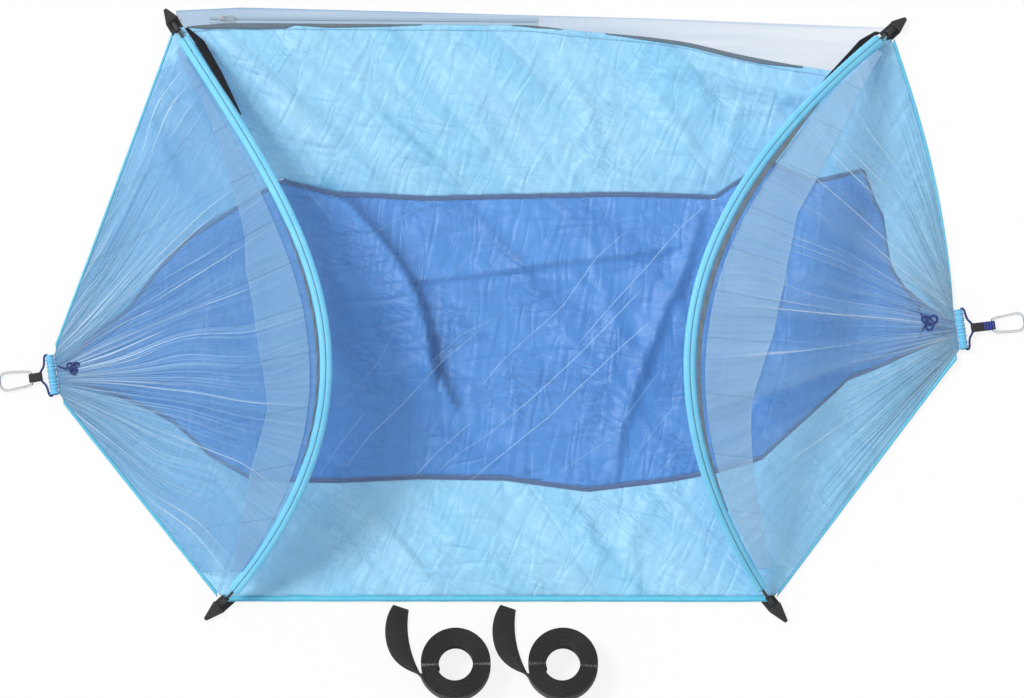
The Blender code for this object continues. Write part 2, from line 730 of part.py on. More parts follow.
slider = bmesh.new()
half = COIL_WIDTH / 2 + GAP
top = COIL_TOP + GAP
saddle = [(-half - SLIDER_WALL, TAPE_TOP + GAP), (-half, TAPE_TOP + GAP), (-half, top), (half, top),
          (half, TAPE_TOP + GAP), (half + SLIDER_WALL, TAPE_TOP + GAP),
          (half + SLIDER_WALL, top + SLIDER_WALL), (-half - SLIDER_WALL, top + SLIDER_WALL)]
swept(slider, [zip_point(SLIDER_PLACE, 0, 0), zip_point(SLIDER_PLACE + SLIDER_LENGTH, 0, 0)], saddle)
SLIDER_MIDDLE = zip_point(SLIDER_PLACE + SLIDER_LENGTH / 2, 0, top + SLIDER_WALL)
add_object("zip_slider", slider, STEEL, SLIDER_MIDDLE)

# The pull's crossbar lies under a small bridge on the slider
bridge_foot = SLIDER_LENGTH * BRIDGE_FOOT_SHARE
bridge_base = top + SLIDER_WALL + GAP
bridge_path = [zip_point(SLIDER_PLACE + SLIDER_LENGTH / 2 + along * bridge_foot, 0,
                         bridge_base + height * BRIDGE_HEIGHT) for along, height in BRIDGE_SHARES]
rod("zip_bridge", bridge_path, BRIDGE_WIRE, ROUND_SIDES, STEEL, ups=[ZIP_OUTWARD] * len(bridge_path))
PULL_PIVOT = zip_point(SLIDER_PLACE + SLIDER_LENGTH / 2, 0, bridge_base + PULL_WIRE + TIP_CLEARANCE)
pull_half = PULL_WIDTH / 2
pull_bar = pull_half * PULL_BAR_SHARE
pull_shoulder = pull_half * PULL_SHOULDER_SHARE
pull_outline = ((0.0, -pull_bar), (0.0, 0.0), (0.0, pull_bar), (pull_shoulder, pull_half),
                (PULL_LENGTH - pull_half, pull_half), (PULL_LENGTH, 0.0),
                (PULL_LENGTH - pull_half, -pull_half), (pull_shoulder, -pull_half))
pull_path = [PULL_PIVOT + ZIP_ALONG * along + ZIP_OUTWARD * aside for along, aside in pull_outline]
rod("zip_pull", pull_path, PULL_WIRE, ROUND_SIDES, STEEL, closed=True, origin=PULL_PIVOT)


# Gathered ends: end channel, cord, knot, webbing loop and carabiner

ENDS = {
    "left": (LEFT_END, LEFT_END_YAW, LEFT_WEB_LENGTH),
    "right": (RIGHT_END, RIGHT_END_YAW, RIGHT_WEB_LENGTH),
}


def end_point(end, yaw, outwards, sideways, height):
    """A point of an end, from its channel: outwards, sideways and above the floor."""
    out, side = end_axes(yaw)
    return np.array((*end, 0.0)) + out * outwards + side * sideways + UP * height


def arc(centre, radius, start_deg, end_deg, count):
    """Points of an arc in a plane, ends included."""
    angles = [math.radians(lerp(start_deg, end_deg, i / (count - 1))) for i in range(count)]
    x, y = centre
    return [(x + radius * math.cos(angle), y + radius * math.sin(angle)) for angle in angles]


def channel(name, end, yaw):
    """A pleated cloth tube across the end, open at both mouths."""
    mesh_data = bmesh.new()
    outer = []
    inner = []
    rings = 2 * CHANNEL_PLEATS + 1
    for i in range(rings):
        sideways = CHANNEL_LENGTH * (i / (rings - 1) - 0.5)
        pleat = CHANNEL_PLEAT * (1 if i % 2 else -1)
        for ring, off in ((outer, 0.0), (inner, CHANNEL_WALL)):
            shape = ellipse(CHANNEL_HALF_WIDTH + pleat - off, CHANNEL_HALF_HEIGHT + pleat - off,
                            ROUND_SIDES)
            ring.append([end_point(end, yaw, out, sideways, CHANNEL_Z + up) for out, up in shape])
    quads(mesh_data, outer + inner[::-1], wrap_rows=True, wrap_columns=True)
    return add_object(name, mesh_data, CYAN)


CORD_OUT = CHANNEL_HALF_WIDTH + CHANNEL_PLEAT + CORD_REACH


def gather_cord(name, end, yaw, finish):
    """A cord through the channel, its two arms meeting in a straight stretch outside."""
    half_span = CHANNEL_LENGTH / 2
    nose = WEB_WIDTH / 2 + CORD_REACH / 2
    reach = CORD_OUT
    seat = facet(CHANNEL_HALF_WIDTH - CHANNEL_PLEAT - CHANNEL_WALL) - CORD_RADIUS - GAP
    outline = [(seat, -half_span), (seat, 0.0), (seat, half_span)]
    outline += arc((seat + CORD_BEND, half_span + CORD_BEND / 2), CORD_BEND, 180, 70, 5)
    outline += [(reach, nose), (reach, 0.0), (reach, -nose)]
    outline += arc((seat + CORD_BEND, -half_span - CORD_BEND / 2), CORD_BEND, -70, -180, 5)
    path = [end_point(end, yaw, outwards, sideways, CHANNEL_Z) for outwards, sideways in outline]
    return rod(name, path, CORD_RADIUS, ROUND_SIDES, finish, closed=True)


def belt(name, end, yaw, bar_at, finish):
    """Webbing sewn into a loop round the cord and the carabiner's bar, in the end's upright plane."""
    mesh_data = bmesh.new()
    half = WEB_THICKNESS / 2
    loop = arc((CORD_OUT, CHANNEL_Z), CORD_RADIUS + GAP + half, 90, 270, WEB_TURN_POINTS)
    loop += arc((bar_at, BAR_Z), BAR_RADIUS + GAP + half, -90, 90, WEB_TURN_POINTS)
    path = [end_point(end, yaw, outwards, 0.0, height) for outwards, height in loop]
    _, side = end_axes(yaw)
    swept(mesh_data, path, rectangle(half, WEB_WIDTH / 2), closed=True, ups=[side] * len(path))
    return add_object(name, mesh_data, finish)


BAR_Z = BAR_RADIUS + GAP + WEB_THICKNESS + GAP


def carabiner_outline():
    """The frame's middle line: outwards from the gate's hinge side, round both ends to the nose."""
    inner = CARABINER_INNER_WIDTH / 2
    outer = CARABINER_OUTER_WIDTH / 2
    corner = CARABINER_CORNER
    big = outer * CARABINER_ROUND_SHARE
    long = CARABINER_LENGTH - 2 * BAR_RADIUS
    path = [(GATE_START + EAR_REACH, side_at(GATE_START + EAR_REACH))]
    path += arc((corner, inner - corner), corner, 90, 180, 5)
    path += arc((corner, -inner + corner), corner, 180, 270, 5)
    path += [(GATE_START, -side_at(GATE_START)), (long / 2, -side_at(long / 2))]
    path += arc((long - big, -outer + big), big, -90, 0, 6)
    path += arc((long - big, outer - big), big, 0, 90, 6)
    path += [(GATE_START + GATE_LENGTH, side_at(GATE_START + GATE_LENGTH))]
    return path


def cut(piece, cutter):
    """Takes a cutter's shape out of a piece, and hides the cutter."""
    cutter.hide_render = True
    cutter.display_type = "WIRE"
    taken = piece.modifiers.new(cutter.name, "BOOLEAN")
    taken.operation = "DIFFERENCE"
    taken.object = cutter
    taken.solver = "EXACT"


def cutter_block(name, start, end, half_width, half_height):
    """A block along a line, to be cut out."""
    mesh_data = bmesh.new()
    swept(mesh_data, [start, end], rectangle(half_width, half_height))
    return add_object(name, mesh_data, STEEL)


def side_at(distance):
    """Half the frame's width at a distance from its inner bar."""
    share = min(max(distance / (CARABINER_LENGTH - 2 * BAR_RADIUS), 0.0), 1.0)
    taper = min(share / CARABINER_TAPER_SHARE, 1.0)
    return lerp(CARABINER_INNER_WIDTH / 2, CARABINER_OUTER_WIDTH / 2, taper)


for label, (end, yaw, web_length) in ENDS.items():
    channel(f"end_channel_{label}", end, yaw)
    gather_cord(f"gather_cord_{label}", end, yaw, CORD_BLUE)
    bar_at = CORD_OUT + web_length
    belt(f"webbing_loop_{label}", end, yaw, bar_at, WEBBING)
    outline = carabiner_outline()
    frame_path = [end_point(end, yaw, bar_at + along, aside, BAR_Z) for along, aside in outline]
    pivot = end_point(end, yaw, bar_at, 0.0, BAR_Z)
    frame_piece = rod(f"carabiner_{label}", frame_path, BAR_RADIUS, ROUND_SIDES, STEEL, origin=pivot)
    hinge = end_point(end, yaw, bar_at + GATE_START, side_at(GATE_START), BAR_Z)
    gate_stop = GATE_START + GATE_LENGTH
    heading = unit(end_point(end, yaw, bar_at + gate_stop, side_at(gate_stop), BAR_Z) - hinge)
    slot = cutter_block(f"slot_cutter_{label}", hinge - heading * TONGUE_BACK, hinge + heading * SLOT_RUN,
                        BAR_RADIUS * 2, TONGUE_THICKNESS / 2 + TIP_CLEARANCE)
    cut(frame_piece, slot)
    hole_path = [hinge - UP * BAR_RADIUS * 2, hinge + UP * BAR_RADIUS * 2]
    hole = rod(f"rivet_cutter_{label}", hole_path, RIVET_RADIUS + TIP_CLEARANCE, RIVET_HOLE_SIDES, STEEL,
               ups=[heading] * 2)
    cut(frame_piece, hole)
    stations = (-TONGUE_FRONT, TONGUE_BACK, TONGUE_BACK + BAR_RADIUS / 3, GATE_LENGTH - GATE_NOSE_GAP)
    gate_path = [hinge + heading * distance for distance in stations]
    flat = ellipse(GATE_RADIUS, TONGUE_THICKNESS / 2, ROUND_SIDES)
    full = ellipse(GATE_RADIUS, GATE_RADIUS, ROUND_SIDES)
    gate_mesh = bmesh.new()
    swept(gate_mesh, gate_path, lambda i, tongue=flat, bar=full: tongue if i < 2 else bar)
    gate = add_object(f"carabiner_gate_{label}", gate_mesh, STEEL, hinge)
    cut(gate, hole)
    rivet_path = [hinge - UP * (BAR_RADIUS - GAP), hinge + UP * (BAR_RADIUS - GAP)]
    rod(f"gate_rivet_{label}", rivet_path, RIVET_RADIUS, ROUND_SIDES, STEEL, ups=[heading] * 2)


# Rolled tree straps: each folded double, wound on itself, its end left free


def strap_roll(name, centre):
    """A flat spiral of standing webbing whose last stretch leaves and leans over."""
    total = STRAP_TURNS * TURN_STEPS
    path = []
    for i in range(total + 1):
        left = STRAP_TURNS - i / TURN_STEPS
        radius = ROLL_OUTER_RADIUS - STRAP_FOLDED_THICKNESS / 2 - STRAP_PITCH * left
        angle = ROLL_END_ANGLE + 2 * math.pi * left
        path.append((centre[0] + radius * math.cos(angle), centre[1] + radius * math.sin(angle)))
    x, y = path[-1]
    for i in range(1, TAIL_STEPS + 1):
        heading = TAIL_HEADING - TAIL_TURN * i / TAIL_STEPS
        x += TAIL_LENGTH / TAIL_STEPS * math.cos(heading)
        y += TAIL_LENGTH / TAIL_STEPS * math.sin(heading)
        path.append((x, y))
    points = []
    ups = []
    for i, (x, y) in enumerate(path):
        before = path[max(i - 1, 0)]
        after = path[min(i + 1, len(path) - 1)]
        along = unit(np.array((after[0] - before[0], after[1] - before[1], 0.0)))
        twist = TAIL_TWIST * math.sin(math.pi * max(i - total, 0) / TAIL_STEPS * TAIL_TWIST_SHARE)
        leaning = UP * math.cos(twist) + np.cross(UP, along) * math.sin(twist)
        foot = np.array((x, y, STRAP_FOLDED_THICKNESS / 2 * math.sin(twist) * TAIL_LIFT_SHARE))
        points.append(foot + leaning * STRAP_WIDTH / 2)
        ups.append(leaning)
    mesh_data = bmesh.new()
    swept(mesh_data, points, rectangle(STRAP_FOLDED_THICKNESS / 2, STRAP_WIDTH / 2), ups=ups)
    walls = np.array(path[: total + 1])
    least = min(float(np.linalg.norm(walls[i + TURN_STEPS // 2:] - walls[i], axis=1).min())
                for i in range(total - TURN_STEPS // 2))
    print(name, "least gap between turns", round((least - STRAP_FOLDED_THICKNESS) * 1000, 2), "mm")
    return add_object(name, mesh_data, WEBBING, (*centre, 0.0))


for i, label in enumerate(("left", "right")):
    strap_roll(f"strap_roll_{label}", (LEFT_ROLL[0] + ROLL_SPACING * i, LEFT_ROLL[1]))


# The origin: on the floor, under the middle of the whole object

bpy.context.view_layer.update()
corners = np.array([piece.matrix_world @ vertex.co for piece in bpy.context.scene.objects
                    if not piece.hide_render for vertex in piece.data.vertices])
middle = (corners.min(axis=0) + corners.max(axis=0)) / 2
for piece in bpy.context.scene.objects:
    piece.location -= Vector((middle[0], middle[1], 0.0))
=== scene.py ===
"""Hammock tent laid out flat: the dressed model over its CAD frame, with its camera, floor and light."""

import math

import bpy
import numpy as np
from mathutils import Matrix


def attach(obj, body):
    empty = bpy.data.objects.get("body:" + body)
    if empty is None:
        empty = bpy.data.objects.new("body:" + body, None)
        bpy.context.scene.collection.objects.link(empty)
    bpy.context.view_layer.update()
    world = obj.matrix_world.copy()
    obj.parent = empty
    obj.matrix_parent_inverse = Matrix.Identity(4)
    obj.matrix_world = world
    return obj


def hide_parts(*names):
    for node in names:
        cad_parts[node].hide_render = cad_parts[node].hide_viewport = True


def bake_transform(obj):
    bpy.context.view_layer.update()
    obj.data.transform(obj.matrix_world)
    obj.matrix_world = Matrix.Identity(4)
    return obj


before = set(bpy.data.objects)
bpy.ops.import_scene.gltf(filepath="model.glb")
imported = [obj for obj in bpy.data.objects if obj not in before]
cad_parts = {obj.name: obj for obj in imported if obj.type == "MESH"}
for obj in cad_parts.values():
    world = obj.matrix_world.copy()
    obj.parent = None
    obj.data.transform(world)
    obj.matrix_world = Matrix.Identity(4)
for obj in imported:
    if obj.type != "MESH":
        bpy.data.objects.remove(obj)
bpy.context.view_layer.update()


# Camera: the tent is seen from almost straight above, from so far off that nothing narrows.
# One pixel of the 1024 x 698 picture covers 2 mm of the floor.

PIXEL = 0.002
VIEW_WIDTH = 1024 * PIXEL
VIEW_ELEVATION = math.radians(80)
VIEW_DISTANCE = 24.0
VIEW_TARGET = np.array((-0.0006, 0.0111, 0.0))
UP = np.array((0.0, 0.0, 1.0))


def placed(name, data):
    """A new object in the scene."""
    made = bpy.data.objects.new(name, data)
    bpy.context.scene.collection.objects.link(made)
    return made


lens = bpy.data.cameras.new("camera")
lens.lens = lens.sensor_width * VIEW_DISTANCE / VIEW_WIDTH
camera = placed("camera", lens)
away = np.array((0.0, -math.cos(VIEW_ELEVATION), math.sin(VIEW_ELEVATION)))
camera.location = VIEW_TARGET + away * VIEW_DISTANCE
camera.rotation_euler = (math.pi / 2 - VIEW_ELEVATION, 0.0, 0.0)
bpy.context.scene.camera = camera


# Gather cords: a braided navy cord runs through each end channel, comes out of both mouths and
# closes round the webbing outside it. Polyester braid, 4.8 mm, soft and a little furry.

LEFT_END = (-0.9192, -0.0434, math.radians(188))
RIGHT_END = (0.8974, 0.0491, math.radians(8))
ENDS = {"left": LEFT_END, "right": RIGHT_END}
CHANNEL_LENGTH = 0.080
CHANNEL_Z = 0.0098
CORD_RADIUS = 0.0024
CORD_OUT = 0.0244
CORD_SEAT = 0.0034
STRAND_PERIOD = 0.0030
# A wave texture at scale 1 repeats once in this much of its coordinate
WAVE_PERIOD = math.pi / 10


def linear(code):
    """An sRGB hex colour as linear RGBA: each channel through the sRGB curve."""
    channels = np.array([int(code[i:i + 2], 16) for i in (1, 3, 5)]) / 255
    low = channels <= 0.04045
    curved = np.where(low, channels / 12.92, ((channels + 0.055) / 1.055) ** 2.4)
    return (*curved.tolist(), 1.0)


def add_node(tree, kind, inputs=(), **settings):
    """Adds a node, sets its properties, and links or sets its inputs, by name or in order.

    An input can be a hex colour, or a node: that links its Fac output, or else the first in use.
    """
    made = tree.nodes.new("ShaderNode" + kind)
    for name, value in settings.items():
        setattr(made, name, value)
    for socket, value in inputs.items() if isinstance(inputs, dict) else enumerate(inputs):
        if isinstance(value, str):
            value = linear(value)
        if isinstance(value, bpy.types.Node):
            value = value.outputs.get("Fac") or next(way for way in value.outputs if way.enabled)
        if isinstance(value, bpy.types.NodeSocket):
            tree.links.new(value, made.inputs[socket])
        else:
            made.inputs[socket].default_value = value
    return made


def new_finish(name, **sockets):
    """A material with one Principled shader, and that shader's plain socket values."""
    made = bpy.data.materials.new(name)
    made.use_nodes = True
    shader = made.node_tree.nodes["Principled BSDF"]
    for socket, value in sockets.items():
        shader.inputs[socket.replace("_", " ")].default_value = value
    return made, made.node_tree, shader


def colour_and_relief(tree, shader, share, dark, light, depth=0.0, relief=None, strength=1.0):
    """Mixes two colours by a share into a shader's base colour, and raises its relief.

    A colour is a hex code or a node. The relief is the share, or another value, times a depth in
    metres.
    """
    mix = add_node(tree, "Mix", {"Factor": share, "A": dark, "B": light}, data_type="RGBA")
    tree.links.new(mix.outputs["Result"], shader.inputs["Base Color"])
    if depth:
        bump = add_node(tree, "Bump", {"Height": share if relief is None else relief,
                                       "Distance": depth, "Strength": strength})
        tree.links.new(bump.outputs["Normal"], shader.inputs["Normal"])


def quads(index):
    """The four-cornered faces between the rows and columns of an array of point numbers."""
    faces = np.stack((index[:-1, :-1], index[:-1, 1:], index[1:, 1:], index[1:, :-1]), -1)
    return faces.reshape(-1, 4)


def make_piece(name, points, faces, uv, finish, tags=None):
    """A smooth closed object from points and faces, with a place and tags for each point.

    Its faces are turned so that its signed volume is positive.
    """
    mesh = bpy.data.meshes.new(name)
    mesh.from_pydata(points.tolist(), [], faces)
    corners = np.array([number for face in faces for number in face])
    mesh.uv_layers.new(name="surface").data.foreach_set("uv", uv[corners].astype(np.float32).reshape(-1))
    for tag, values in (tags or {}).items():
        mesh.attributes.new(tag, "FLOAT", "POINT").data.foreach_set("value", values.astype(np.float32))
    mesh.polygons.foreach_set("use_smooth", np.ones(len(faces), bool))
    mesh.materials.append(finish)
    mesh.calc_loop_triangles()
    triangles = np.empty(len(mesh.loop_triangles) * 3, np.int32)
    mesh.loop_triangles.foreach_get("vertices", triangles)
    a, b, c = np.moveaxis(points[triangles.reshape(-1, 3)], 1, 0)
    if np.sum(a * np.cross(b, c)) < 0:
        mesh.flip_normals()
    return placed(name, mesh)


def tube(name, points, uv, finish, closed):
    """A tube over an array of points, rows along it by columns round it; its ends meet or are capped."""
    index = np.arange(points.shape[0] * points.shape[1]).reshape(points.shape[:2])
    caps = [] if closed else [index[0, ::-1].tolist(), index[-1].tolist()]
    index = np.hstack((index, index[:, :1]))
    if closed:
        index = np.vstack((index, index[:1]))
    return make_piece(name, points.reshape(-1, 3), quads(index).tolist() + caps, uv.reshape(-1, 2), finish)


def places_over(along, across):
    """Places on a surface, in metres: each value along it with each value across it."""
    return np.stack(np.meshgrid(along, across, indexing="ij"), -1)


def unit(vectors):
    """The vectors at length one."""
    return vectors / np.maximum(np.linalg.norm(vectors, axis=-1, keepdims=True), 1e-12)


def run_length(path):
    """How far along a path each of its points lies."""
    steps = np.linalg.norm(np.diff(path, axis=0), axis=1)
    return np.concatenate(((0.0,), np.cumsum(steps)))


def evenly(path, count):
    """The same path with its points evenly spaced."""
    run = run_length(path)
    places = np.linspace(0.0, run[-1], count)
    return np.stack([np.interp(places, run, path[:, k]) for k in range(3)], -1)


def rounded(path, count, passes=12):
    """A path with its corners rounded: evenly spaced points, each moved to its neighbours' middle."""
    path = evenly(np.array(path, float), count)
    for _ in range(passes):
        path[1:-1] = path[1:-1] * 0.5 + (path[:-2] + path[2:]) * 0.25
    return path


def directions(path, closed=False):
    """The direction of a path at each point: from the point before it to the one after it."""
    if closed:
        return unit(np.roll(path, -1, 0) - np.roll(path, 1, 0))
    return unit(np.vstack((path[1:], path[-1:])) - np.vstack((path[:1], path[:-1])))


def carried(path, section, ups=UP, closed=False):
    """A section's points along a path: the section's first number goes across, its second along up.

    section is an array of points, or one such array for each point of the path.
    """
    along = directions(path, closed)
    across = unit(np.cross(along, ups))
    up = np.cross(across, along)
    return path[:, None] + across[:, None] * section[..., :1] + up[:, None] * section[..., 1:]


def sweep(name, path, section, finish, ups=UP, closed=False):
    """A closed section carried along a path; its surface is measured along and round it."""
    section = np.broadcast_to(section, (len(path), *np.shape(section)[-2:]))
    edge = np.linalg.norm(section - np.roll(section, 1, 1), axis=-1).mean(0)
    uv = places_over(run_length(path), np.cumsum(edge))
    return tube(name, carried(path, section, ups, closed), uv, finish, closed)


def circle(sides):
    """Angles evenly round a circle, from the first to the last before it closes."""
    return np.arange(sides) * 2 * math.pi / sides


def oval(half_width, half_height, sides):
    """Points round an ellipse: sine across and cosine up."""
    angles = circle(sides)
    return np.stack((half_width * np.sin(angles), half_height * np.cos(angles)), -1)


def end_place(side, outwards, sideways, height):
    """Points beside an end channel, from lengths outwards and sideways in the end's own plan."""
    x, y, yaw = ENDS[side]
    outwards, sideways, height = np.broadcast_arrays(outwards, sideways, height)
    return np.stack((x + outwards * math.cos(yaw) - sideways * math.sin(yaw),
                     y + outwards * math.sin(yaw) + sideways * math.cos(yaw), height), -1)


# Braided polyester: strands cross in slanted bands 3 mm apart, dull; the gaps between strands are painted
# darker, a painted shade
braid, tree, shader = new_finish("braided_polyester_navy", Roughness=0.75, Sheen_Weight=0.25)
coordinate = add_node(tree, "TexCoord").outputs["UV"]
mirrored = add_node(tree, "Mapping", {"Vector": coordinate, "Scale": (1.0, -1.0, 1.0)})
ways = [add_node(tree, "TexWave", {"Vector": way, "Scale": WAVE_PERIOD / STRAND_PERIOD},
                 bands_direction="DIAGONAL") for way in (coordinate, mirrored)]
strands = add_node(tree, "Math", ways, operation="MAXIMUM")
colour_and_relief(tree, shader, strands, "#101C4C", "#24418F", 0.0006)

# Half of each cord's route, in lengths outwards and sideways: out of the channel's mouth, round it
# and in to the webbing
for side in ENDS:
    half = CHANNEL_LENGTH / 2
    beside = [(CORD_SEAT, half - 0.002), (CORD_SEAT + 0.003, half + 0.004), (CORD_SEAT + 0.0085, half),
              (0.0125, 0.030), (0.0150, 0.018), (CORD_OUT - 0.0020, 0.010), (CORD_OUT, 0.004)]
    mirrored_side = [(reach, -aside) for reach, aside in reversed(beside)]
    outline = np.array([(CORD_SEAT, 0.0), *beside, *mirrored_side, (CORD_SEAT, 0.0)])
    route = end_place(side, outline[:, 0], outline[:, 1], CHANNEL_Z)
    route = rounded(route, 90, 6)[:-1]
    gather = sweep(f"gather_cord_{side}_braid", route, oval(CORD_RADIUS, CORD_RADIUS, 14), braid,
                   closed=True)
    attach(gather, "hammock")
    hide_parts(f"gather_cord_{side}")


# Bed: one dark-blue panel between two light-blue ones, cut from thin crinkled nylon taffeta.
# The ends are drawn together into fans of pleats, and the cloth lies on the floor in folds.

BACK_LEFT = np.array((-0.6806, 0.6741, 0.0))
BACK_RIGHT = np.array((0.7654, 0.6621, 0.0))
FRONT_LEFT = np.array((-0.5806, -0.5079, 0.0))
FRONT_RIGHT = np.array((0.5194, -0.5079, 0.0))
CORNER_INSET = 0.020
RIGHT_EDGE_BULGE = 0.018
BACK_EDGE_DEPTH = 0.082
BACK_EDGE_POWER = 6
BACK_EDGE_ROUNDING = 0.015
BACK_EDGE_SHARES = (0.0, 0.11, 0.12, 0.12, 0.12, 0.12, 0.12, 0.12,
                    -0.03, -0.12, -0.27, -0.58, -0.81, -1.0, 0.0)
BED_LIFT = 0.0024
BED_THICKNESS = 0.0016
SEAM_WIDTH = 0.009
SEWING_GAP = 0.0004
BED_COLUMNS = 421
CREASE_DEPTH = 0.013
GATHER_BACK_OFF = 0.0091
# Places along the bed, in bays, and the two seams' shares of its width there
SEAM_PLACES = (0.0, 0.5, 0.64, 0.79, 1.0, 1.071, 1.143, 1.214, 1.357, 1.5, 1.643,
               1.786, 1.857, 1.929, 2.0, 2.143, 2.214, 2.357, 2.5, 2.75, 3.0)
BACK_SEAM_SHARES = (0.64, 0.602, 0.62, 0.636, 0.636, 0.686, 0.736, 0.714, 0.706, 0.711, 0.718,
                    0.718, 0.790, 0.755, 0.762, 0.735, 0.728, 0.644, 0.615, 0.596, 0.62)
FRONT_SEAM_SHARES = (0.36, 0.31, 0.30, 0.285, 0.25, 0.206, 0.204, 0.203, 0.210, 0.208, 0.188,
                     0.207, 0.222, 0.245, 0.33, 0.352, 0.368, 0.368, 0.37, 0.383, 0.39)


def chord_station(front, back):
    """The bed's two edge points beside a pair of pole tips."""
    inset = unit(back - front) * CORNER_INSET
    return front + inset, back - inset


def gather_station(side):
    """The bed's two edge points beside an end channel, front one first."""
    pair = end_place(side, -GATHER_BACK_OFF, np.array((-0.5, 0.5)) * CHANNEL_LENGTH, 0.0)
    return sorted(pair, key=lambda point: point[1])


STATIONS = np.array([gather_station("left"), chord_station(FRONT_LEFT, BACK_LEFT),
                     chord_station(FRONT_RIGHT, BACK_RIGHT), gather_station("right")])


def bed_plan(u, v):
    """The bed's flat plan: u runs over three bays from end to end, v from front to back.

    Each bay is a ruled patch between two stations. The right one bulges outwards at the back, and
    the middle one's back edge swings out and in by shares of a depth, rounded over a few columns.
    """
    u, v = np.broadcast_arrays(np.asarray(u, float), np.asarray(v, float))
    bay = np.clip(u.astype(int), 0, 2)
    t = (u - bay)[..., None]
    near = STATIONS[bay]
    far = STATIONS[bay + 1]
    front = near[..., 0, :] * (1 - t) + far[..., 0, :] * t
    back = near[..., 1, :] * (1 - t) + far[..., 1, :] * t
    point = front + (back - front) * v[..., None]
    yaw = RIGHT_END[2]
    bulge = RIGHT_EDGE_BULGE * np.sin(np.pi * t[..., 0]) * np.clip(v, 0, None) ** 2 * (bay == 2)
    point = point + bulge[..., None] * np.array((math.cos(yaw), math.sin(yaw), 0.0))
    places = np.linspace(0, 1, len(BACK_EDGE_SHARES))
    swing = np.mean([np.interp(t[..., 0] + off, places, BACK_EDGE_SHARES)
                     for off in (-BACK_EDGE_ROUNDING, 0.0, BACK_EDGE_ROUNDING)], 0)
    swing = swing * np.minimum(1, np.minimum(t[..., 0], 1 - t[..., 0]) * 40)
    swing = swing * BACK_EDGE_DEPTH * np.clip(v, 0, 1) ** BACK_EDGE_POWER * (bay == 1)
    outward = np.cross(UP, unit(STATIONS[2, 1] - STATIONS[1, 1]))
    return point + swing[..., None] * outward


def end_share(u):
    """How far a place lies into an end bay: 0 at the poles and between them, 1 at a channel."""
    return np.maximum(np.maximum(1 - u, u - 2), 0)


def bed_width(u):
    """The bed's width at u."""
    return np.linalg.norm(bed_plan(u, 1.0) - bed_plan(u, 0.0), axis=-1)


def noise(x, y, seed):
    """Smooth random values from 0 to 1: hashed lattice points joined by smooth steps."""
    cell_x, cell_y = np.floor(x), np.floor(y)
    a, b = x - cell_x, y - cell_y
    a, b = a * a * (3 - 2 * a), b * b * (3 - 2 * b)

    def corner(i, j):
        """The hashed value of a lattice point: the fraction of a large sine."""
        value = np.sin((cell_x + i) * 127.1 + (cell_y + j) * 311.7 + seed * 74.7) * 43758.5453
        return value - np.floor(value)

    low = corner(0, 0) * (1 - a) + corner(1, 0) * a
    high = corner(0, 1) * (1 - a) + corner(1, 1) * a
    return low * (1 - b) + high * b


def crinkles(x, y, angle, length, width, seed):
    """Sharp ridges of a given length and width, in metres, lying at an angle.

    A ridge stands where stretched noise crosses its middle value: one less twice the distance.
    """
    along = x * math.cos(angle) + y * math.sin(angle)
    across = -x * math.sin(angle) + y * math.cos(angle)
    bent = across + 0.4 * width * (noise(along / length * 1.7, across / width / 3, seed + 9) - 0.5)
    value = noise(along / length, bent / width, seed)
    return np.clip(1 - np.abs(2 * value - 1) * 2.2, 0, 1) ** 1.5


# The middle pixel of the photograph's frame and the floor's point under it
MIDDLE_PIXEL = (512, 350)
MIDDLE_SPOT = (-0.0006, 0.0091)


def plan_spot(column, row, height=0.0):
    """The point of the floor, or of a level above it, under a pixel of the photograph's frame."""
    x = (column - MIDDLE_PIXEL[0]) * PIXEL
    y = ((MIDDLE_PIXEL[1] - row) * PIXEL - height * math.cos(VIEW_ELEVATION)) / math.sin(VIEW_ELEVATION)
    return np.array((x, y)) + MIDDLE_SPOT


def beside_line(x, y, spots, height=0.0):
    """How far each point lies to the left of a polyline, in metres, and how far along it, 0 to 1."""
    places = [plan_spot(*spot, height) for spot in spots]
    best = np.full_like(x, 1e9)
    signed = np.zeros_like(x)
    reached = np.zeros_like(x)
    total = sum(np.hypot(*(b - a)) for a, b in zip(places, places[1:]))
    before = 0.0
    for here, following in zip(places, places[1:]):
        run = following - here
        size = np.hypot(*run)
        raw = ((x - here[0]) * run[0] + (y - here[1]) * run[1]) / size ** 2
        t = np.clip(raw, 0, 1)
        off = np.hypot(x - here[0] - run[0] * t, y - here[1] - run[1] * t)
        side = (y - here[1]) * run[0] - (x - here[0]) * run[1]
        closer = off < best
        best = np.where(closer, off, best)
        signed = np.where(closer, np.where(side < 0, -off, off), signed)
        reached = np.where(closer, (before + np.clip(raw, -9, 9) * size) / total, reached)
        before += size
    return signed, reached


def ridge_lines(x, y, lines):
    """Folds along polylines: each rises as a bell with its own half width on either side."""
    total = np.zeros_like(x)
    for rise, left_half, right_half, *spots in lines:
        signed, _ = beside_line(x, y, spots)
        half = np.where(signed > 0, left_half, right_half)
        total = total + rise * np.exp(-((signed / half) ** 2))
    return total


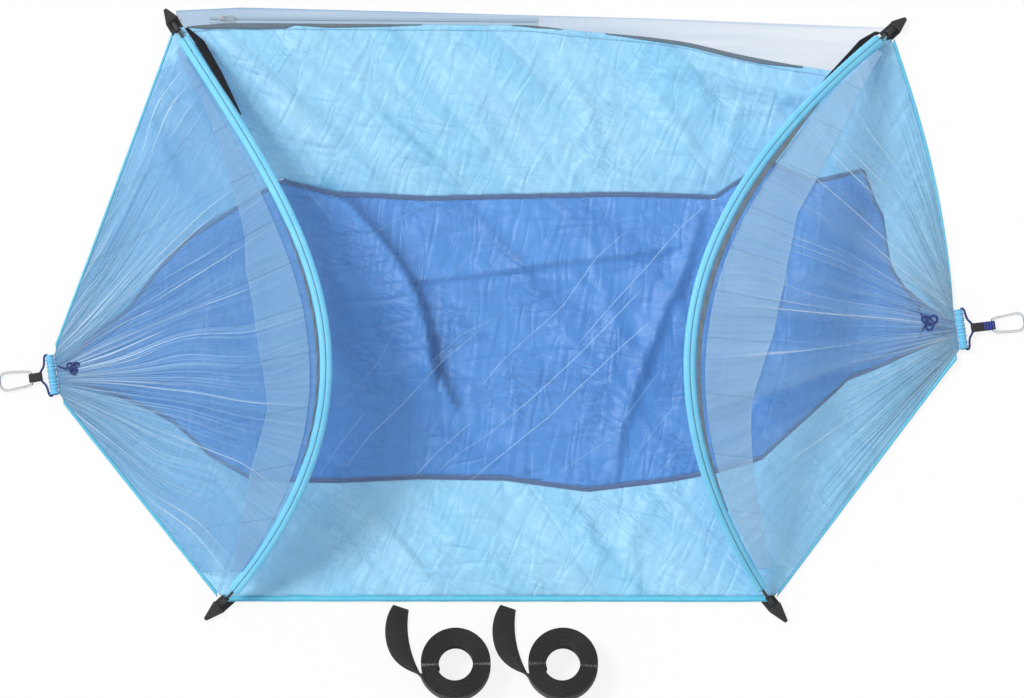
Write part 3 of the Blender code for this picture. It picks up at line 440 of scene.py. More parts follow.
# Each fold's rise, its half widths on the left and the right in metres, and the pixels it passes
BED_FOLDS = (
    (0.026, 0.007, 0.065, (322, 186), (350, 205), (372, 230), (396, 260), (417, 297), (428, 335), (432, 365)),
    (0.010, 0.007, 0.024, (432, 365), (444, 385), (452, 402)),
    (0.008, 0.024, 0.008, (410, 284), (470, 277), (500, 273), (560, 263), (600, 260), (670, 250)),
    (0.012, 0.007, 0.026, (704, 217), (690, 262), (668, 310), (655, 345), (638, 388), (625, 430), (617, 478)),
    (0.008, 0.006, 0.020, (690, 262), (678, 300), (690, 330)),
    (0.007, 0.020, 0.008, (520, 275), (560, 330), (600, 380), (640, 410)),
    (0.006, 0.018, 0.008, (595, 270), (612, 320), (650, 390)),
    (0.006, 0.008, 0.022, (440, 440), (480, 452), (520, 440), (560, 450)),
    (0.006, 0.010, 0.020, (470, 205), (500, 240), (520, 262)),
    (0.006, 0.010, 0.018, (555, 200), (585, 232), (598, 252)),
    (0.016, 0.006, 0.020, (668, 69), (704, 73), (738, 84), (781, 96), (812, 97), (836, 84)),
    (0.010, 0.012, 0.030, (212, 48), (240, 84), (290, 146), (326, 188)),
    (0.011, 0.016, 0.036, (236, 48), (275, 82), (335, 140), (385, 186)),
    (0.010, 0.018, 0.034, (262, 48), (320, 82), (390, 132), (460, 184)),
    (0.007, 0.014, 0.026, (300, 40), (360, 75), (430, 118), (480, 150)),
    (0.006, 0.012, 0.024, (430, 60), (470, 95), (500, 150), (520, 185)),
    (0.006, 0.010, 0.022, (560, 60), (590, 110), (600, 160)),
    (0.006, 0.010, 0.022, (660, 100), (690, 140), (700, 180)),
    (0.005, 0.010, 0.020, (740, 110), (730, 150), (712, 186)),
    (0.006, 0.010, 0.022, (185, 60), (200, 110), (225, 170), (262, 215)),
    (0.005, 0.010, 0.020, (150, 120), (180, 190), (215, 232)),
    (0.006, 0.010, 0.024, (330, 500), (380, 530), (430, 575), (450, 598)),
    (0.006, 0.010, 0.024, (470, 500), (510, 535), (560, 560), (600, 590)),
    (0.006, 0.010, 0.024, (650, 500), (630, 545), (640, 590)),
    (0.005, 0.010, 0.020, (270, 520), (300, 560), (320, 598)),
    (0.005, 0.010, 0.020, (560, 495), (585, 520), (600, 560)),
)
BED_RAYS = 46
# Painted shade on the shadowed sides of folds and beside the left sleeve: how dark, then half
# widths and pixels
BED_FOLD_SHADE = (
    (0.85, 0.034, 0.0015, (326, 190), (350, 205), (372, 230), (396, 260), (417, 297), (428, 335), (432, 365)),
    (0.85, 0.020, 0.0020, (430, 350), (438, 372), (452, 402)),
    (0.32, 0.034, 0.010, (284, 184), (302, 218), (320, 266), (332, 310), (338, 350)),
    (0.50, 0.004, 0.010, (704, 217), (690, 262), (668, 310), (655, 345), (638, 388), (625, 430), (617, 478)),
    (0.35, 0.003, 0.005, (410, 284), (470, 277), (500, 273), (560, 263), (600, 260), (670, 250)),
    (0.30, 0.003, 0.008, (460, 210), (490, 238), (520, 262)),
    (0.25, 0.003, 0.006, (560, 202), (585, 232), (600, 252)),
    (0.45, 0.006, 0.022, (770, 165), (790, 172), (800, 182)),
    (0.30, 0.004, 0.014, (668, 69), (704, 73), (738, 84), (781, 96), (812, 97), (836, 84)),
    (0.22, 0.022, 0.004, (212, 48), (245, 90), (292, 146), (328, 188)),
    (0.18, 0.020, 0.004, (236, 48), (275, 82), (335, 140), (385, 186)),
    (0.25, 0.004, 0.008, (470, 205), (500, 240), (520, 262)),
)
# The fan's pleats beside each gathered end: how many, and how far they rise
FAN_PLEATS = ((7, 0.016), (23, 0.006))
BED_BILLOW = 0.008
# Rise, direction, length and width of the bed's crinkles
BED_CRINKLES = ((0.0050, 2.25, 0.300, 0.075), (0.0022, 2.65, 0.160, 0.050), (0.0010, 0.65, 0.110, 0.036))


def bed_height(u, v, swell):
    """The cloth's underside: lifted at the ends, with fan pleats, folds and crinkles between seams."""
    t = end_share(u)
    point = bed_plan(u, v)
    x, y = point[..., 0], point[..., 1]
    rise = (CHANNEL_Z - 0.0010 - BED_LIFT) * t ** 6
    (wide_count, wide_rise), (fine_count, fine_rise) = FAN_PLEATS
    wide = 2 * np.pi * (wide_count * v + 0.25 * np.sin(9 * v) + 0.1 * np.sin(7 * u))
    fine = 2 * np.pi * (fine_count * v + 0.6 * np.sin(5 * v))
    fan = t ** 1.5 * (1 - t) * (wide_rise * (1 - np.cos(wide)) + fine_rise * (1 - np.cos(fine)))
    folds = ridge_lines(x, y, BED_FOLDS) * (1 - t) ** 0.5
    crushed = sum(share * crinkles(x, y, *size, seed) for seed, (share, *size) in enumerate(BED_CRINKLES, 1))
    billow = BED_BILLOW * noise(x / 0.11, y / 0.09, 6)
    return BED_LIFT + rise + fan * swell + (folds + crushed + billow) * swell ** 0.6 * (1 - t) ** 0.4


def cloth_body(name, top, uv, thickness, finish, tags=None):
    """A closed thin body: the grid of points, a copy set down by the thickness, and a rim between."""
    bottom = top - UP * thickness
    count = top.shape[0] * top.shape[1]
    index = np.arange(count).reshape(top.shape[:2])
    faces = quads(index)
    rim = np.concatenate((index[0, :-1], index[:-1, -1], index[-1, :0:-1], index[:0:-1, 0]))
    following = np.roll(rim, -1)
    sides = np.stack((rim, rim + count, following + count, following), -1)
    every = np.vstack((faces, faces[:, ::-1] + count, sides)).tolist()
    twice = {tag: np.tile(values.reshape(-1), 2) for tag, values in (tags or {}).items()}
    return make_piece(name, np.vstack((top.reshape(-1, 3), bottom.reshape(-1, 3))), every,
                      np.tile(uv.reshape(-1, 2), (2, 1)), finish, twice)


def crossed(tree, coordinate, periods, join):
    """Threads across X and Y at real spacings, in metres: two waves joined by an operation."""
    waves = [add_node(tree, "TexWave", {"Vector": coordinate, "Scale": WAVE_PERIOD / period},
                      bands_direction=direction) for direction, period in zip("XY", periods)]
    return add_node(tree, "Math", waves, operation=join)


def crease_share(tree, half_width):
    """How near a point lies to a crease, 0 to 1.

    The ray tag counts creases and passes a half at each; its distance from that, times the pitch
    tag, is in metres. The press tag says how sharp a crease is.
    """
    tag = {name: add_node(tree, "Attribute", attribute_name=name) for name in ("ray", "pitch", "press")}
    part = add_node(tree, "Math", (tag["ray"],), operation="FRACT")
    off = add_node(tree, "Math", (part, 0.5), operation="SUBTRACT")
    off = add_node(tree, "Math", (off,), operation="ABSOLUTE")
    off = add_node(tree, "Math", (off, tag["pitch"]), operation="MULTIPLY")
    near = add_node(tree, "MapRange", {"Value": off, "From Min": half_width, "From Max": 0.0},
                    interpolation_type="SMOOTHSTEP")
    return add_node(tree, "Math", (near, tag["press"]), operation="MULTIPLY", use_clamp=True)


def comb_share(tree):
    """Streaks along the creases: smooth noise over the ray tag, as strong as the comb tag says.

    Gives the streaks, 0 to 1 about a half, and thin lines where a second noise crosses a half.
    """
    tag = {name: add_node(tree, "Attribute", attribute_name=name) for name in ("ray", "comb")}
    offs = []
    for times, shift in ((1.3, 0.0), (1.9, 31.0)):
        place = add_node(tree, "Math", (tag["ray"], times, shift), operation="MULTIPLY_ADD")
        grain = add_node(tree, "TexNoise", {"W": place, "Scale": 1.0, "Detail": 2.0}, noise_dimensions="1D")
        offs.append(add_node(tree, "Math", (grain, 0.5), operation="SUBTRACT"))
    streak = add_node(tree, "Math", (offs[0], tag["comb"]), operation="MULTIPLY")
    streak = add_node(tree, "Math", (streak, 1.6, 0.5), operation="MULTIPLY_ADD", use_clamp=True)
    line = add_node(tree, "Math", (offs[1],), operation="ABSOLUTE")
    line = add_node(tree, "MapRange", {"Value": line, "From Min": 0.05, "From Max": 0.0},
                    interpolation_type="SMOOTHSTEP")
    line = add_node(tree, "Math", (line, tag["comb"]), operation="MULTIPLY", use_clamp=True)
    return streak, line


def taffeta(name, dark, light, shade_colour, slant):
    """Thin crushed nylon taffeta: sharp creases at four sizes over soft clouds of colour.

    A crease lies where stretched noise crosses its middle value: the height is the distance from
    that value, so that the cloth is smooth between creases and folded sharply along them. The
    clouds of colour follow the longest creases, lighter on one side and darker on the other: a
    painted light and shade of broad folds. All but the longest creases carry hairlines of painted
    shade, and the smallest come in patches; the fan pleats and the fold shade tag are painted in
    the same darker shade colour.
    """
    made, tree, shader = new_finish(name, Roughness=0.45, Sheen_Weight=0.12, IOR=1.53)
    texture = add_node(tree, "TexCoord")
    place = texture.outputs["Object"]
    patches = add_node(tree, "TexNoise", {"Vector": place, "Scale": 8.0, "Detail": 2.0})
    patch = add_node(tree, "MapRange", {"Value": patches, "From Min": 0.42, "From Max": 0.62})
    # Creases: the direction, then the length, width and depth in metres
    sizes = ((slant, 0.46, 0.085, 0.0150), (slant + 38, 0.20, 0.046, 0.0080),
             (slant - 62, 0.11, 0.030, 0.0058), (slant + 12, 0.055, 0.016, 0.0042))
    height, hair, cloud = 0.0, 0.0, None
    for i, (turned, length, width, depth) in enumerate(sizes):
        cells = add_node(tree, "Mapping", {"Vector": place, "Location": (0.3 * i, 0.7 * i, 0.0),
                                           "Rotation": (0.0, 0.0, math.radians(turned)),
                                           "Scale": (length, width, 1.0)}, vector_type="TEXTURE")
        grain = add_node(tree, "TexNoise", {"Vector": cells, "Scale": 1.0, "Detail": 1.5,
                                            "Distortion": 0.35}, noise_dimensions="2D")
        off = add_node(tree, "Math", (grain, 0.5), operation="SUBTRACT")
        off = rise = add_node(tree, "Math", (off,), operation="ABSOLUTE")
        if i == len(sizes) - 1:
            rise = add_node(tree, "Math", (off, patch), operation="MULTIPLY")
        height = add_node(tree, "Math", (rise, depth / CREASE_DEPTH, height), operation="MULTIPLY_ADD")
        if cloud is None:
            cloud = grain
        else:
            line = add_node(tree, "MapRange", {"Value": off, "From Min": 0.0007 / width, "From Max": 0.0},
                            interpolation_type="SMOOTHSTEP")
            hair = add_node(tree, "Math", (hair, line), operation="MAXIMUM")
    # Painted shade: the fold shade tag mixes the cloth towards its shade colour
    fold_shade = add_node(tree, "Attribute", attribute_name="fold_shade")
    # Painted light and shade of broad folds: the colour runs dark to light across the longest creases
    cloth = add_node(tree, "Mix", {"Factor": cloud, "A": dark, "B": light}, data_type="RGBA")
    cloth = add_node(tree, "Mix", {"Factor": fold_shade, "A": cloth, "B": shade_colour}, data_type="RGBA")
    hair = add_node(tree, "Math", (hair, patch), operation="MULTIPLY")
    pleat = crease_share(tree, 0.0032)
    streak, _ = comb_share(tree)
    # Painted shade along the crease hairlines and the fan pleats, in the shade colour
    painted_shade = add_node(tree, "Math", (hair, 0.40, pleat), operation="MULTIPLY_ADD", use_clamp=True)
    # Weave 0.25 mm in the real cloth, drawn at 1.2 mm so that it can be seen
    weave = crossed(tree, texture.outputs["UV"], (0.0012, 0.0012), "MULTIPLY")
    for layer, share in ((weave, 0.006), (pleat, -0.13), (streak, 0.55)):
        height = add_node(tree, "Math", (layer, share, height), operation="MULTIPLY_ADD")
    colour_and_relief(tree, shader, painted_shade, cloth, shade_colour, CREASE_DEPTH, height)
    return made


# Light-blue nylon taffeta reflects softly along its creases, which mostly run down to the right;
# its last colour is the painted shade of its creases and folds
light_taffeta = taffeta("crinkled_nylon_taffeta_light_blue", "#7EC8F2", "#ACE0FC", "#6DB6E0", -50)
# Dark-blue nylon taffeta of the same weave, its creases a little flatter; its last colour is its
# painted shade
dark_taffeta = taffeta("crinkled_nylon_taffeta_dark_blue", "#4080CC", "#5E9EE6", "#3A68A8", -34)


def bed_panel(name, low, high, rows, finish):
    """One panel between two lengthwise edges, given as shares of the bed's width at each u.

    Its fan creases run at equal shares of the width, strongest beside the gathered ends.
    """
    u = np.linspace(0, 3, BED_COLUMNS)[:, None]
    w = np.linspace(0, 1, rows)[None]
    v = low(u) + (high(u) - low(u)) * w
    top = bed_plan(u, v)
    top[..., 2] = bed_height(np.broadcast_to(u, v.shape), v, np.sin(np.pi * w)) + BED_THICKNESS
    t = end_share(u) + 0 * v
    bent = v * BED_RAYS + 0.9 * noise(u * 5 + 0 * v, v * 14, 31)
    press = np.clip(noise(u * 4 + 0 * v, np.floor(bent) * 3.7, 32) * 1.8 - 0.4, 0, 1)
    press = press * np.clip(t * 1.5 - 0.1, 0, 1)
    # Painted shade: these places darken the cloth's colour through a tag
    fold_shade = np.clip(ridge_lines(top[..., 0], top[..., 1], BED_FOLD_SHADE), 0, 1)
    tags = {"ray": bent, "pitch": bed_width(u) / BED_RAYS + 0 * v, "press": press * 0.8,
            "comb": np.clip(t * 2.2 - 0.3, 0, 1), "fold_shade": fold_shade}
    piece = cloth_body(name, top, top[..., :2], BED_THICKNESS, finish, tags)
    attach(piece, "hammock")
    return piece


def seam_share(shares, offset):
    """A seam's place as a share of the width, moved sideways by an offset in metres."""
    return lambda u: np.interp(u, SEAM_PLACES, shares) + offset / bed_width(u)


panel_edge = SEAM_WIDTH / 2 + SEWING_GAP
center = bed_panel("bed_center_cloth", seam_share(FRONT_SEAM_SHARES, panel_edge),
                   seam_share(BACK_SEAM_SHARES, -panel_edge), 116, dark_taffeta)
back = bed_panel("bed_back_cloth", seam_share(BACK_SEAM_SHARES, panel_edge),
                 np.ones_like, 84, light_taffeta)
front = bed_panel("bed_front_cloth", np.zeros_like,
                  seam_share(FRONT_SEAM_SHARES, -panel_edge), 72, light_taffeta)
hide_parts("bed_center_panel")
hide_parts("bed_back_panel")
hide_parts("bed_front_panel")


# Seams and hems: flat sewn strips. The two seams are dark tape with three stitch rows. The bed's
# edges are turned hems, of brighter cyan nylon but for the long one at the back, which is the bed's
# own cloth and partly bound in dark grey.

HEM_WIDTH = 0.012
HEM_THICKNESS = 0.0026
STITCH_PERIOD = 0.0040
THREAD_WIDTH = 0.0010
SEAM_RAISED = 0.0008
HEM_MIDDLE = HEM_WIDTH / 2 + SEWING_GAP
HEM_TRIM = 0.010
HEM_WAVE = 0.0006
BINDING_THICKNESS = 0.0014
STRIP_STEP = 0.005


def sewn(name, dark, light, thread, rows_at, roughness):
    """Cloth with rows of stitches: short dashes along the strip, at given places across it."""
    made, tree, shader = new_finish(name, Roughness=roughness, Sheen_Weight=0.2)
    coordinate = add_node(tree, "TexCoord").outputs["UV"]
    across = add_node(tree, "SeparateXYZ", (coordinate,)).outputs["Y"]
    cloud = add_node(tree, "TexNoise", {"Vector": coordinate, "Scale": 60.0, "Detail": 3.0})
    cloth = add_node(tree, "Mix", {"Factor": cloud, "A": dark, "B": light}, data_type="RGBA")
    dash = add_node(tree, "TexWave", {"Vector": coordinate, "Scale": WAVE_PERIOD / STITCH_PERIOD})
    dash = add_node(tree, "Math", (dash, 0.25), operation="GREATER_THAN")
    stitched = 0.0
    for place in rows_at:
        row = add_node(tree, "Math", (across, place, THREAD_WIDTH / 2), operation="COMPARE")
        row = add_node(tree, "Math", (row, dash), operation="MULTIPLY")
        stitched = add_node(tree, "Math", (row, stitched), operation="MAXIMUM")
    colour_and_relief(tree, shader, stitched, cloth, thread, 0.0006)
    return made


# Grosgrain seam tape, grey-blue, with its three rows of lighter thread
seam_finish = sewn("grosgrain_seam_tape", "#415A88", "#506C9A", "#7C94BA",
                   (0.0015, 0.0045, 0.0075), 0.7)
# Folded cyan nylon hem, glossier than the bed where it is pressed flat
hem_finish = sewn("pressed_nylon_hem_cyan", "#4FBFE4", "#6FD3F0", "#3596BC", (0.0025, 0.0095), 0.42)
# Woven polyester binding, dark grey and matt, folded over the edge beside the zip
binding_finish = sewn("polyester_binding_dark_grey", "#5A6A76", "#6B7A86", "#8896A2", (0.0060,), 0.75)


def edge_strip(name, middle, u_low, u_high, width, thickness, finish, wave=0.0, cut=None, up=0.0):
    """A strip along the bed: its middle line is a share of the width, crowned across by a third.

    cut gives pairs of a place, from 0 to 1, and a share of the width; what is left keeps the outer
    edge.
    """
    length = float(np.linalg.norm(bed_plan(u_high, middle(np.array(u_high)))
                                  - bed_plan(u_low, middle(np.array(u_low)))))
    count = max(int(length / STRIP_STEP), 8)
    u = np.linspace(u_low, u_high, count)[:, None]
    w = np.linspace(0, 1, 7)[None]
    ripple = wave * np.sin(u * 61.0 + np.sin(u * 23.0))
    place = (u - u_low) / (u_high - u_low)
    left = np.interp(place, *zip(*cut)) if cut else 1.0
    v = middle(u) + ((0.5 - (1 - w) * left) * width + ripple * 0.3) / bed_width(u)
    top = bed_plan(u, v)
    level = bed_height(np.broadcast_to(u, v.shape), v, np.zeros_like(v))
    crown = np.sin(np.pi * w)
    top[..., 2] = level + up + thickness * (0.7 + 0.3 * crown) + np.abs(ripple) * crown
    uv = places_over(run_length(top[:, 3]), w[0] * width)
    piece = cloth_body(name, top, uv, thickness * 0.7, finish)
    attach(piece, "hammock")
    return piece


for label, shares in (("back", BACK_SEAM_SHARES), ("front", FRONT_SEAM_SHARES)):
    strip = edge_strip(f"seam_{label}_stitched", seam_share(shares, 0.0), 0.0, 3.0, SEAM_WIDTH,
                       BED_THICKNESS + SEAM_RAISED, seam_finish)
    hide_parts(f"seam_tape_{label}")

for label, side_v, outward in (("back", 1.0, 1.0), ("front", 0.0, -1.0)):
    for bay, place in enumerate(("left_", "", "right_")):
        bay_length = float(np.linalg.norm(bed_plan(bay + 1.0, side_v) - bed_plan(bay, side_v)))
        trim = HEM_TRIM / bay_length
        rolled = (label, bay) == ("back", 1)
        strip = edge_strip(f"hem_{place}{label}_sewn",
                           lambda u, v=side_v, o=outward: v + o * HEM_MIDDLE / bed_width(u),
                           bay + trim, bay + 1 - trim, HEM_WIDTH, HEM_THICKNESS,
                           light_taffeta if rolled else hem_finish, HEM_WAVE)
        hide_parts(f"hem_{place}{label}")

# The binding: where it starts and stops along the back, and how much of its width shows
for part, start, end, cut in (
        ("left", 1.018, 1.345, ((0, 0.2), (0.08, 0.8), (0.30, 1.0), (0.42, 0.9), (0.46, 0.35), (0.60, 0.7),
                                (0.80, 0.55), (1, 0.1))),
        ("middle", 1.47, 1.54, ((0, 0.1), (0.5, 0.4), (1, 0.1))),
        ("right", 1.60, 1.875, ((0, 0.15), (0.2, 0.6), (0.5, 0.75), (0.8, 0.8), (1, 0.3)))):
    edge_strip(f"hem_back_binding_{part}", lambda u: 1 + HEM_MIDDLE / bed_width(u), start, end,
               HEM_WIDTH, BINDING_THICKNESS, binding_finish, HEM_WAVE, cut, HEM_THICKNESS)


# End channels: each gathered end is turned over into a short tube of cyan nylon, squeezed into
# many pleats on its cord.

CHANNEL_HALF_WIDTH = 0.0085
CHANNEL_HALF_HEIGHT = 0.0080
CHANNEL_CLOTH = 0.0012
CHANNEL_RINGS = 161
CHANNEL_SIDES = 28


def hollow(name, shells, run, around, finish):
    """A tube with a wall: its outer surface one way and its inner one back, joined at both mouths."""
    uv = places_over(np.concatenate((run, run[::-1])), around)
    return tube(name, np.vstack((shells[0], shells[1][::-1])), uv, finish, True)


# Gathered cyan nylon shines along its small pleats
pleated = sewn("gathered_nylon_cyan", "#58B8E4", "#86D2F4", "#3A88B4", (0.010, 0.040), 0.45)
for side, (_, _, yaw) in ENDS.items():
    sideways = (np.linspace(0, 1, CHANNEL_RINGS) - 0.5) * CHANNEL_LENGTH
    turns = sideways / CHANNEL_LENGTH * 2 * np.pi
    pleat = 0.0009 * np.sin(turns * 9 + 2.2 * np.sin(turns * 2 + yaw)) + 0.0006 * np.sin(turns * 23 + 1.0)
    angles = circle(CHANNEL_SIDES)
    shells = []
    for off in (0.0, CHANNEL_CLOTH):
        radius_out = CHANNEL_HALF_WIDTH + pleat - off
        radius_up = CHANNEL_HALF_HEIGHT + pleat - off
        shells.append(end_place(side, radius_out[:, None] * np.sin(angles), sideways[:, None],
                                CHANNEL_Z + radius_up[:, None] * np.cos(angles)))
    channel = hollow(f"end_channel_{side}_pleated", shells, sideways, angles * CHANNEL_HALF_WIDTH,
                     pleated)
    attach(channel, "hammock")
    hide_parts(f"end_channel_{side}")


# Sleeves and poles: each arch is a three-piece fibreglass rod with steel ferrules, in a flat
# cyan sleeve that puckers along its centre stitching. The tips stand in the corner pockets.

LEAN = math.radians(45)
TIP_Z = 0.0073
SLEEVE_START = 0.046
SLEEVE_HALF_WIDTH = 0.0130
SLEEVE_HALF_HEIGHT = 0.0072
SLEEVE_CLOTH = 0.0010
SLEEVE_RINGS = 300
SLEEVE_SIDES = 24
SLEEVE_STITCH = 0.0050
PUCKER_PERIOD = 0.011
ARCH_FULLNESS = 0.95


class Arch:
    """One arch: along its chord from the back tip, rising in a plane that leans over the bed."""

    def __init__(self, back_tip, front_tip, rise, skew, inward):
        self.back = back_tip + UP * TIP_Z
        self.front = front_tip + UP * TIP_Z
        self.rise, self.skew = rise, skew
        self.along = unit(self.front - self.back)
        self.length = float(np.linalg.norm(self.front - self.back))
        level = np.cross(UP, self.along)
        self.level = level if level[0] * inward > 0 else -level
        self.rising = self.level * math.cos(LEAN) + UP * math.sin(LEAN)

    def at(self, s):
        """The rod's middle line: a full bow in height, pulled to one side by a skew."""
        s = np.asarray(s, float)
        height = self.rise * np.maximum(4 * s * (1 - s), 0) ** ARCH_FULLNESS
        height = height * (1 + self.skew * (2 * s - 1))
        return self.back + self.along * (self.length * s)[..., None] + self.rising * height[..., None]

    def shares(self, start, end, count):
        """Places from a length after the back tip to a length before the front one."""
        fine = np.linspace(0, 1, 401)
        run = run_length(self.at(fine))
        return np.interp(np.linspace(start, run[-1] - end, count), run, fine)


ARCHES = {"left": Arch(BACK_LEFT, FRONT_LEFT, 0.3365, 0.465, 1),
          "right": Arch(BACK_RIGHT, FRONT_RIGHT, 0.3729, 0.255, -1)}

# Sleeve nylon is glossier than the bed, with a dark line of thread down its middle
sleeve_finish, tree, shader = new_finish("sewn_nylon_sleeve_cyan", Roughness=0.5, Sheen_Weight=0.15)
texture = add_node(tree, "TexCoord")
across = add_node(tree, "SeparateXYZ", (texture.outputs["UV"],)).outputs["Y"]
cloud = add_node(tree, "TexNoise", {"Vector": texture.outputs["Object"], "Scale": 25.0, "Detail": 4.0})
cloth = add_node(tree, "Mix", {"Factor": cloud, "A": "#62C2EE", "B": "#84D8FA"}, data_type="RGBA")
line = add_node(tree, "Math", (across, 0.0, 0.0009), operation="COMPARE")
dash = add_node(tree, "TexWave", {"Vector": texture.outputs["UV"], "Scale": WAVE_PERIOD / SLEEVE_STITCH})
dash = add_node(tree, "Math", (dash, 0.15), operation="GREATER_THAN")
line = add_node(tree, "Math", (line, dash), operation="MULTIPLY")
puckers = add_node(tree, "TexNoise", {"Vector": texture.outputs["UV"], "Scale": 130.0, "Detail": 3.0})
colour_and_relief(tree, shader, line, cloth, "#33586B", 0.0012, puckers, 0.6)


def grained(name, scale, dark, light, detail=2.0, depth=0.0, **sockets):
    """Plain metal or plastic, whose colour and relief wander a little with fine noise."""
    made, tree, shader = new_finish(name, **sockets)
    place = add_node(tree, "TexCoord").outputs["Object"]
    grain = add_node(tree, "TexNoise", {"Vector": place, "Scale": scale, "Detail": detail})
    colour_and_relief(tree, shader, grain, dark, light, depth)
    return made


# Moulded black nylon plastic, lightly grained
moulded = grained("moulded_nylon_black", 900.0, "#141416", "#232326", depth=0.0001, Roughness=0.42)
# Pulled fibreglass rod, dark and smooth
pulled = grained("pultruded_fibreglass_rod", 300.0, "#1C1D20", "#34363B", Roughness=0.35)
# Drawn steel ferrule, softly polished
drawn = grained("drawn_steel_ferrule", 500.0, "#9A9DA2", "#C6C9CD", Roughness=0.3, Metallic=1.0)


def refinish(node, finish):
    """Gives a CAD node that stays its better material."""
    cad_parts[node].data.materials.clear()
    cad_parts[node].data.materials.append(finish)


for side, arch in ARCHES.items():
    path = arch.at(arch.shares(SLEEVE_START, SLEEVE_START, SLEEVE_RINGS))
    run = run_length(path)
    angles = circle(SLEEVE_SIDES)
    pinch = np.exp(-((np.sin(angles) / 0.28) ** 2)) * (np.cos(angles) > 0)
    pucker = (0.5 + 0.5 * np.sin(run * 2 * np.pi / PUCKER_PERIOD + 3 * np.sin(run * 31.0)))[:, None]
    width = 1 - 0.06 * pucker * np.abs(np.sin(angles))
    height = 1 - pinch * (0.16 + 0.12 * pucker)
    shells = []
    for off in (0.0, SLEEVE_CLOTH):
        across = (SLEEVE_HALF_WIDTH - off) * np.sin(angles) * width
        up = (SLEEVE_HALF_HEIGHT - off) * np.cos(angles) * height
        shells.append(carried(path, np.stack((across, up), -1)))
    around = np.where(angles > np.pi, angles - 2 * np.pi, angles) * 0.010
    sleeve = hollow(f"sleeve_{side}_puckered", shells, run, around, sleeve_finish)
    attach(sleeve, f"arch_{side}")
    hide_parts(f"sleeve_{side}")
    for i in (1, 2, 3):
        refinish(f"pole_{side}_{i}", pulled)
    for i in (1, 2):
        refinish(f"ferrule_{side}_{i}", drawn)
    for corner in ("back", "front"):
        refinish(f"pole_tip_{side}_{corner}", moulded)


# Corner pockets: each corner has a tab of heavy black webbing folded over the pole tip and sewn
# to the bed's edge, its free end cut to a point.

RIB_PERIOD = 0.0022

# Polypropylene webbing: coarse ribs across it with picks between them, matt, nearly black
webbing, tree, shader = new_finish("polypropylene_webbing_black", Roughness=0.72, Sheen_Weight=0.1)
weave = crossed(tree, add_node(tree, "TexCoord").outputs["UV"], (RIB_PERIOD, 0.0030), "MULTIPLY")
colour_and_relief(tree, shader, weave, "#19191B", "#36363A", 0.0007)

POCKET_WALL = 0.0020
POCKET_WIDTH = 0.028
POCKET_IN = 0.026
POCKET_PLAY = 0.0003
POCKET_SEAT = 0.0012
# Where a pocket starts to close and to narrow, and the share that is left of each at its point
POCKET_CLOSING = (0.012, 0.35)
POCKET_NARROWING = (0.006, 0.25)
UNDER_POINTS, TURN_POINTS, OVER_POINTS = 24, 17, 12
POCKET_REACH = {"back": 0.034, "front": 0.042}
TIP_RADIUS = 0.0050
TIP_LENGTH = 0.045


def slab(half_thick, half_wide, points=6):
    """A webbing's section: a flat band with rounded edges."""
    angles = np.linspace(-np.pi / 2, np.pi / 2, points)
    ends = half_wide - half_thick
    right = np.stack((half_thick * np.sin(angles), ends + half_thick * np.cos(angles)), -1)
    return np.vstack((right, -right))


for side, arch in ARCHES.items():
    inner_back, inner_front = arch.at(arch.shares(TIP_LENGTH, TIP_LENGTH, 2))
    for corner, tip_at, inner in (("back", arch.back, inner_back), ("front", arch.front, inner_front)):
        outward = unit((tip_at - inner) * (1.0, 1.0, 0.0))
        bend = TIP_RADIUS + POCKET_PLAY + POCKET_WALL / 2
        turn = np.linspace(0, np.pi, TURN_POINTS)
        far = POCKET_REACH[corner] - bend
        reach = np.concatenate((np.linspace(-POCKET_IN, far, UNDER_POINTS)[:-1], far + bend * np.sin(turn),
                                np.linspace(far, TIP_RADIUS, OVER_POINTS)[1:]))
        level = np.concatenate((np.full(UNDER_POINTS - 1, -bend), -bend * np.cos(turn),
                                np.full(OVER_POINTS - 1, bend)))
        flat = np.interp(reach, (POCKET_CLOSING[0], far + bend), (1.0, POCKET_CLOSING[1]))
        path = tip_at + outward * reach[:, None] + UP * (level * flat)[:, None]
        path[:, 2] -= (1 - flat) * (bend - POCKET_SEAT)
        crosswise = np.cross(UP, outward)
        narrow = np.interp(reach, (POCKET_NARROWING[0], far + bend), (1.0, POCKET_NARROWING[1]))
        wide = POCKET_WIDTH / 2 * narrow
        section = np.stack([slab(POCKET_WALL / 2, half) for half in wide])
        tab = sweep(f"pocket_{side}_{corner}_webbing", path, section, webbing, ups=crosswise)
        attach(tab, "hammock")
        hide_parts(f"pocket_{side}_{corner}")


# Sleeve facings: narrow bands along the sleeves. Black ripstop guards the two back corners, and
# a narrow dark-grey band, in the binding's finish, runs down the outer side of each sleeve.

# Coated ripstop, black: smoother than webbing, with a fine square grid 5 mm apart
ripstop, tree, shader = new_finish("coated_ripstop_black", Roughness=0.75, Specular_IOR_Level=0.2)
grid = crossed(tree, add_node(tree, "TexCoord").outputs["UV"], (0.0050, 0.0050), "MAXIMUM")
colour_and_relief(tree, shader, grid, "#0C0E12", "#181B20", 0.0004)

FACING_THICKNESS = 0.0009
# Rows over the whole of an arch
FACING_ROWS = 260


def facing(name, side, places, offsets, widths, finish, up=0.0):
    """A band along an arch: its middle and width are given at places along the chord."""
    arch = ARCHES[side]
    rows = max(int(abs(places[-1] - places[0]) * FACING_ROWS), 12)
    s = np.linspace(places[0], places[-1], rows)[:, None]
    w = np.linspace(-0.5, 0.5, 7)[None]
    across = np.interp(s, places, offsets) + np.interp(s, places, widths) * w
    top = arch.at(s) + arch.level * across[..., None]
    top[..., 2] += up + 0.0008 * np.sin(s * 170 + 3 * w)
    run = run_length(arch.at(s[:, 0]))
    uv = np.stack((run[:, None] + 0 * w, across), -1)
    band = cloth_body(name, top, uv, FACING_THICKNESS, finish)
    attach(band, f"arch_{side}")


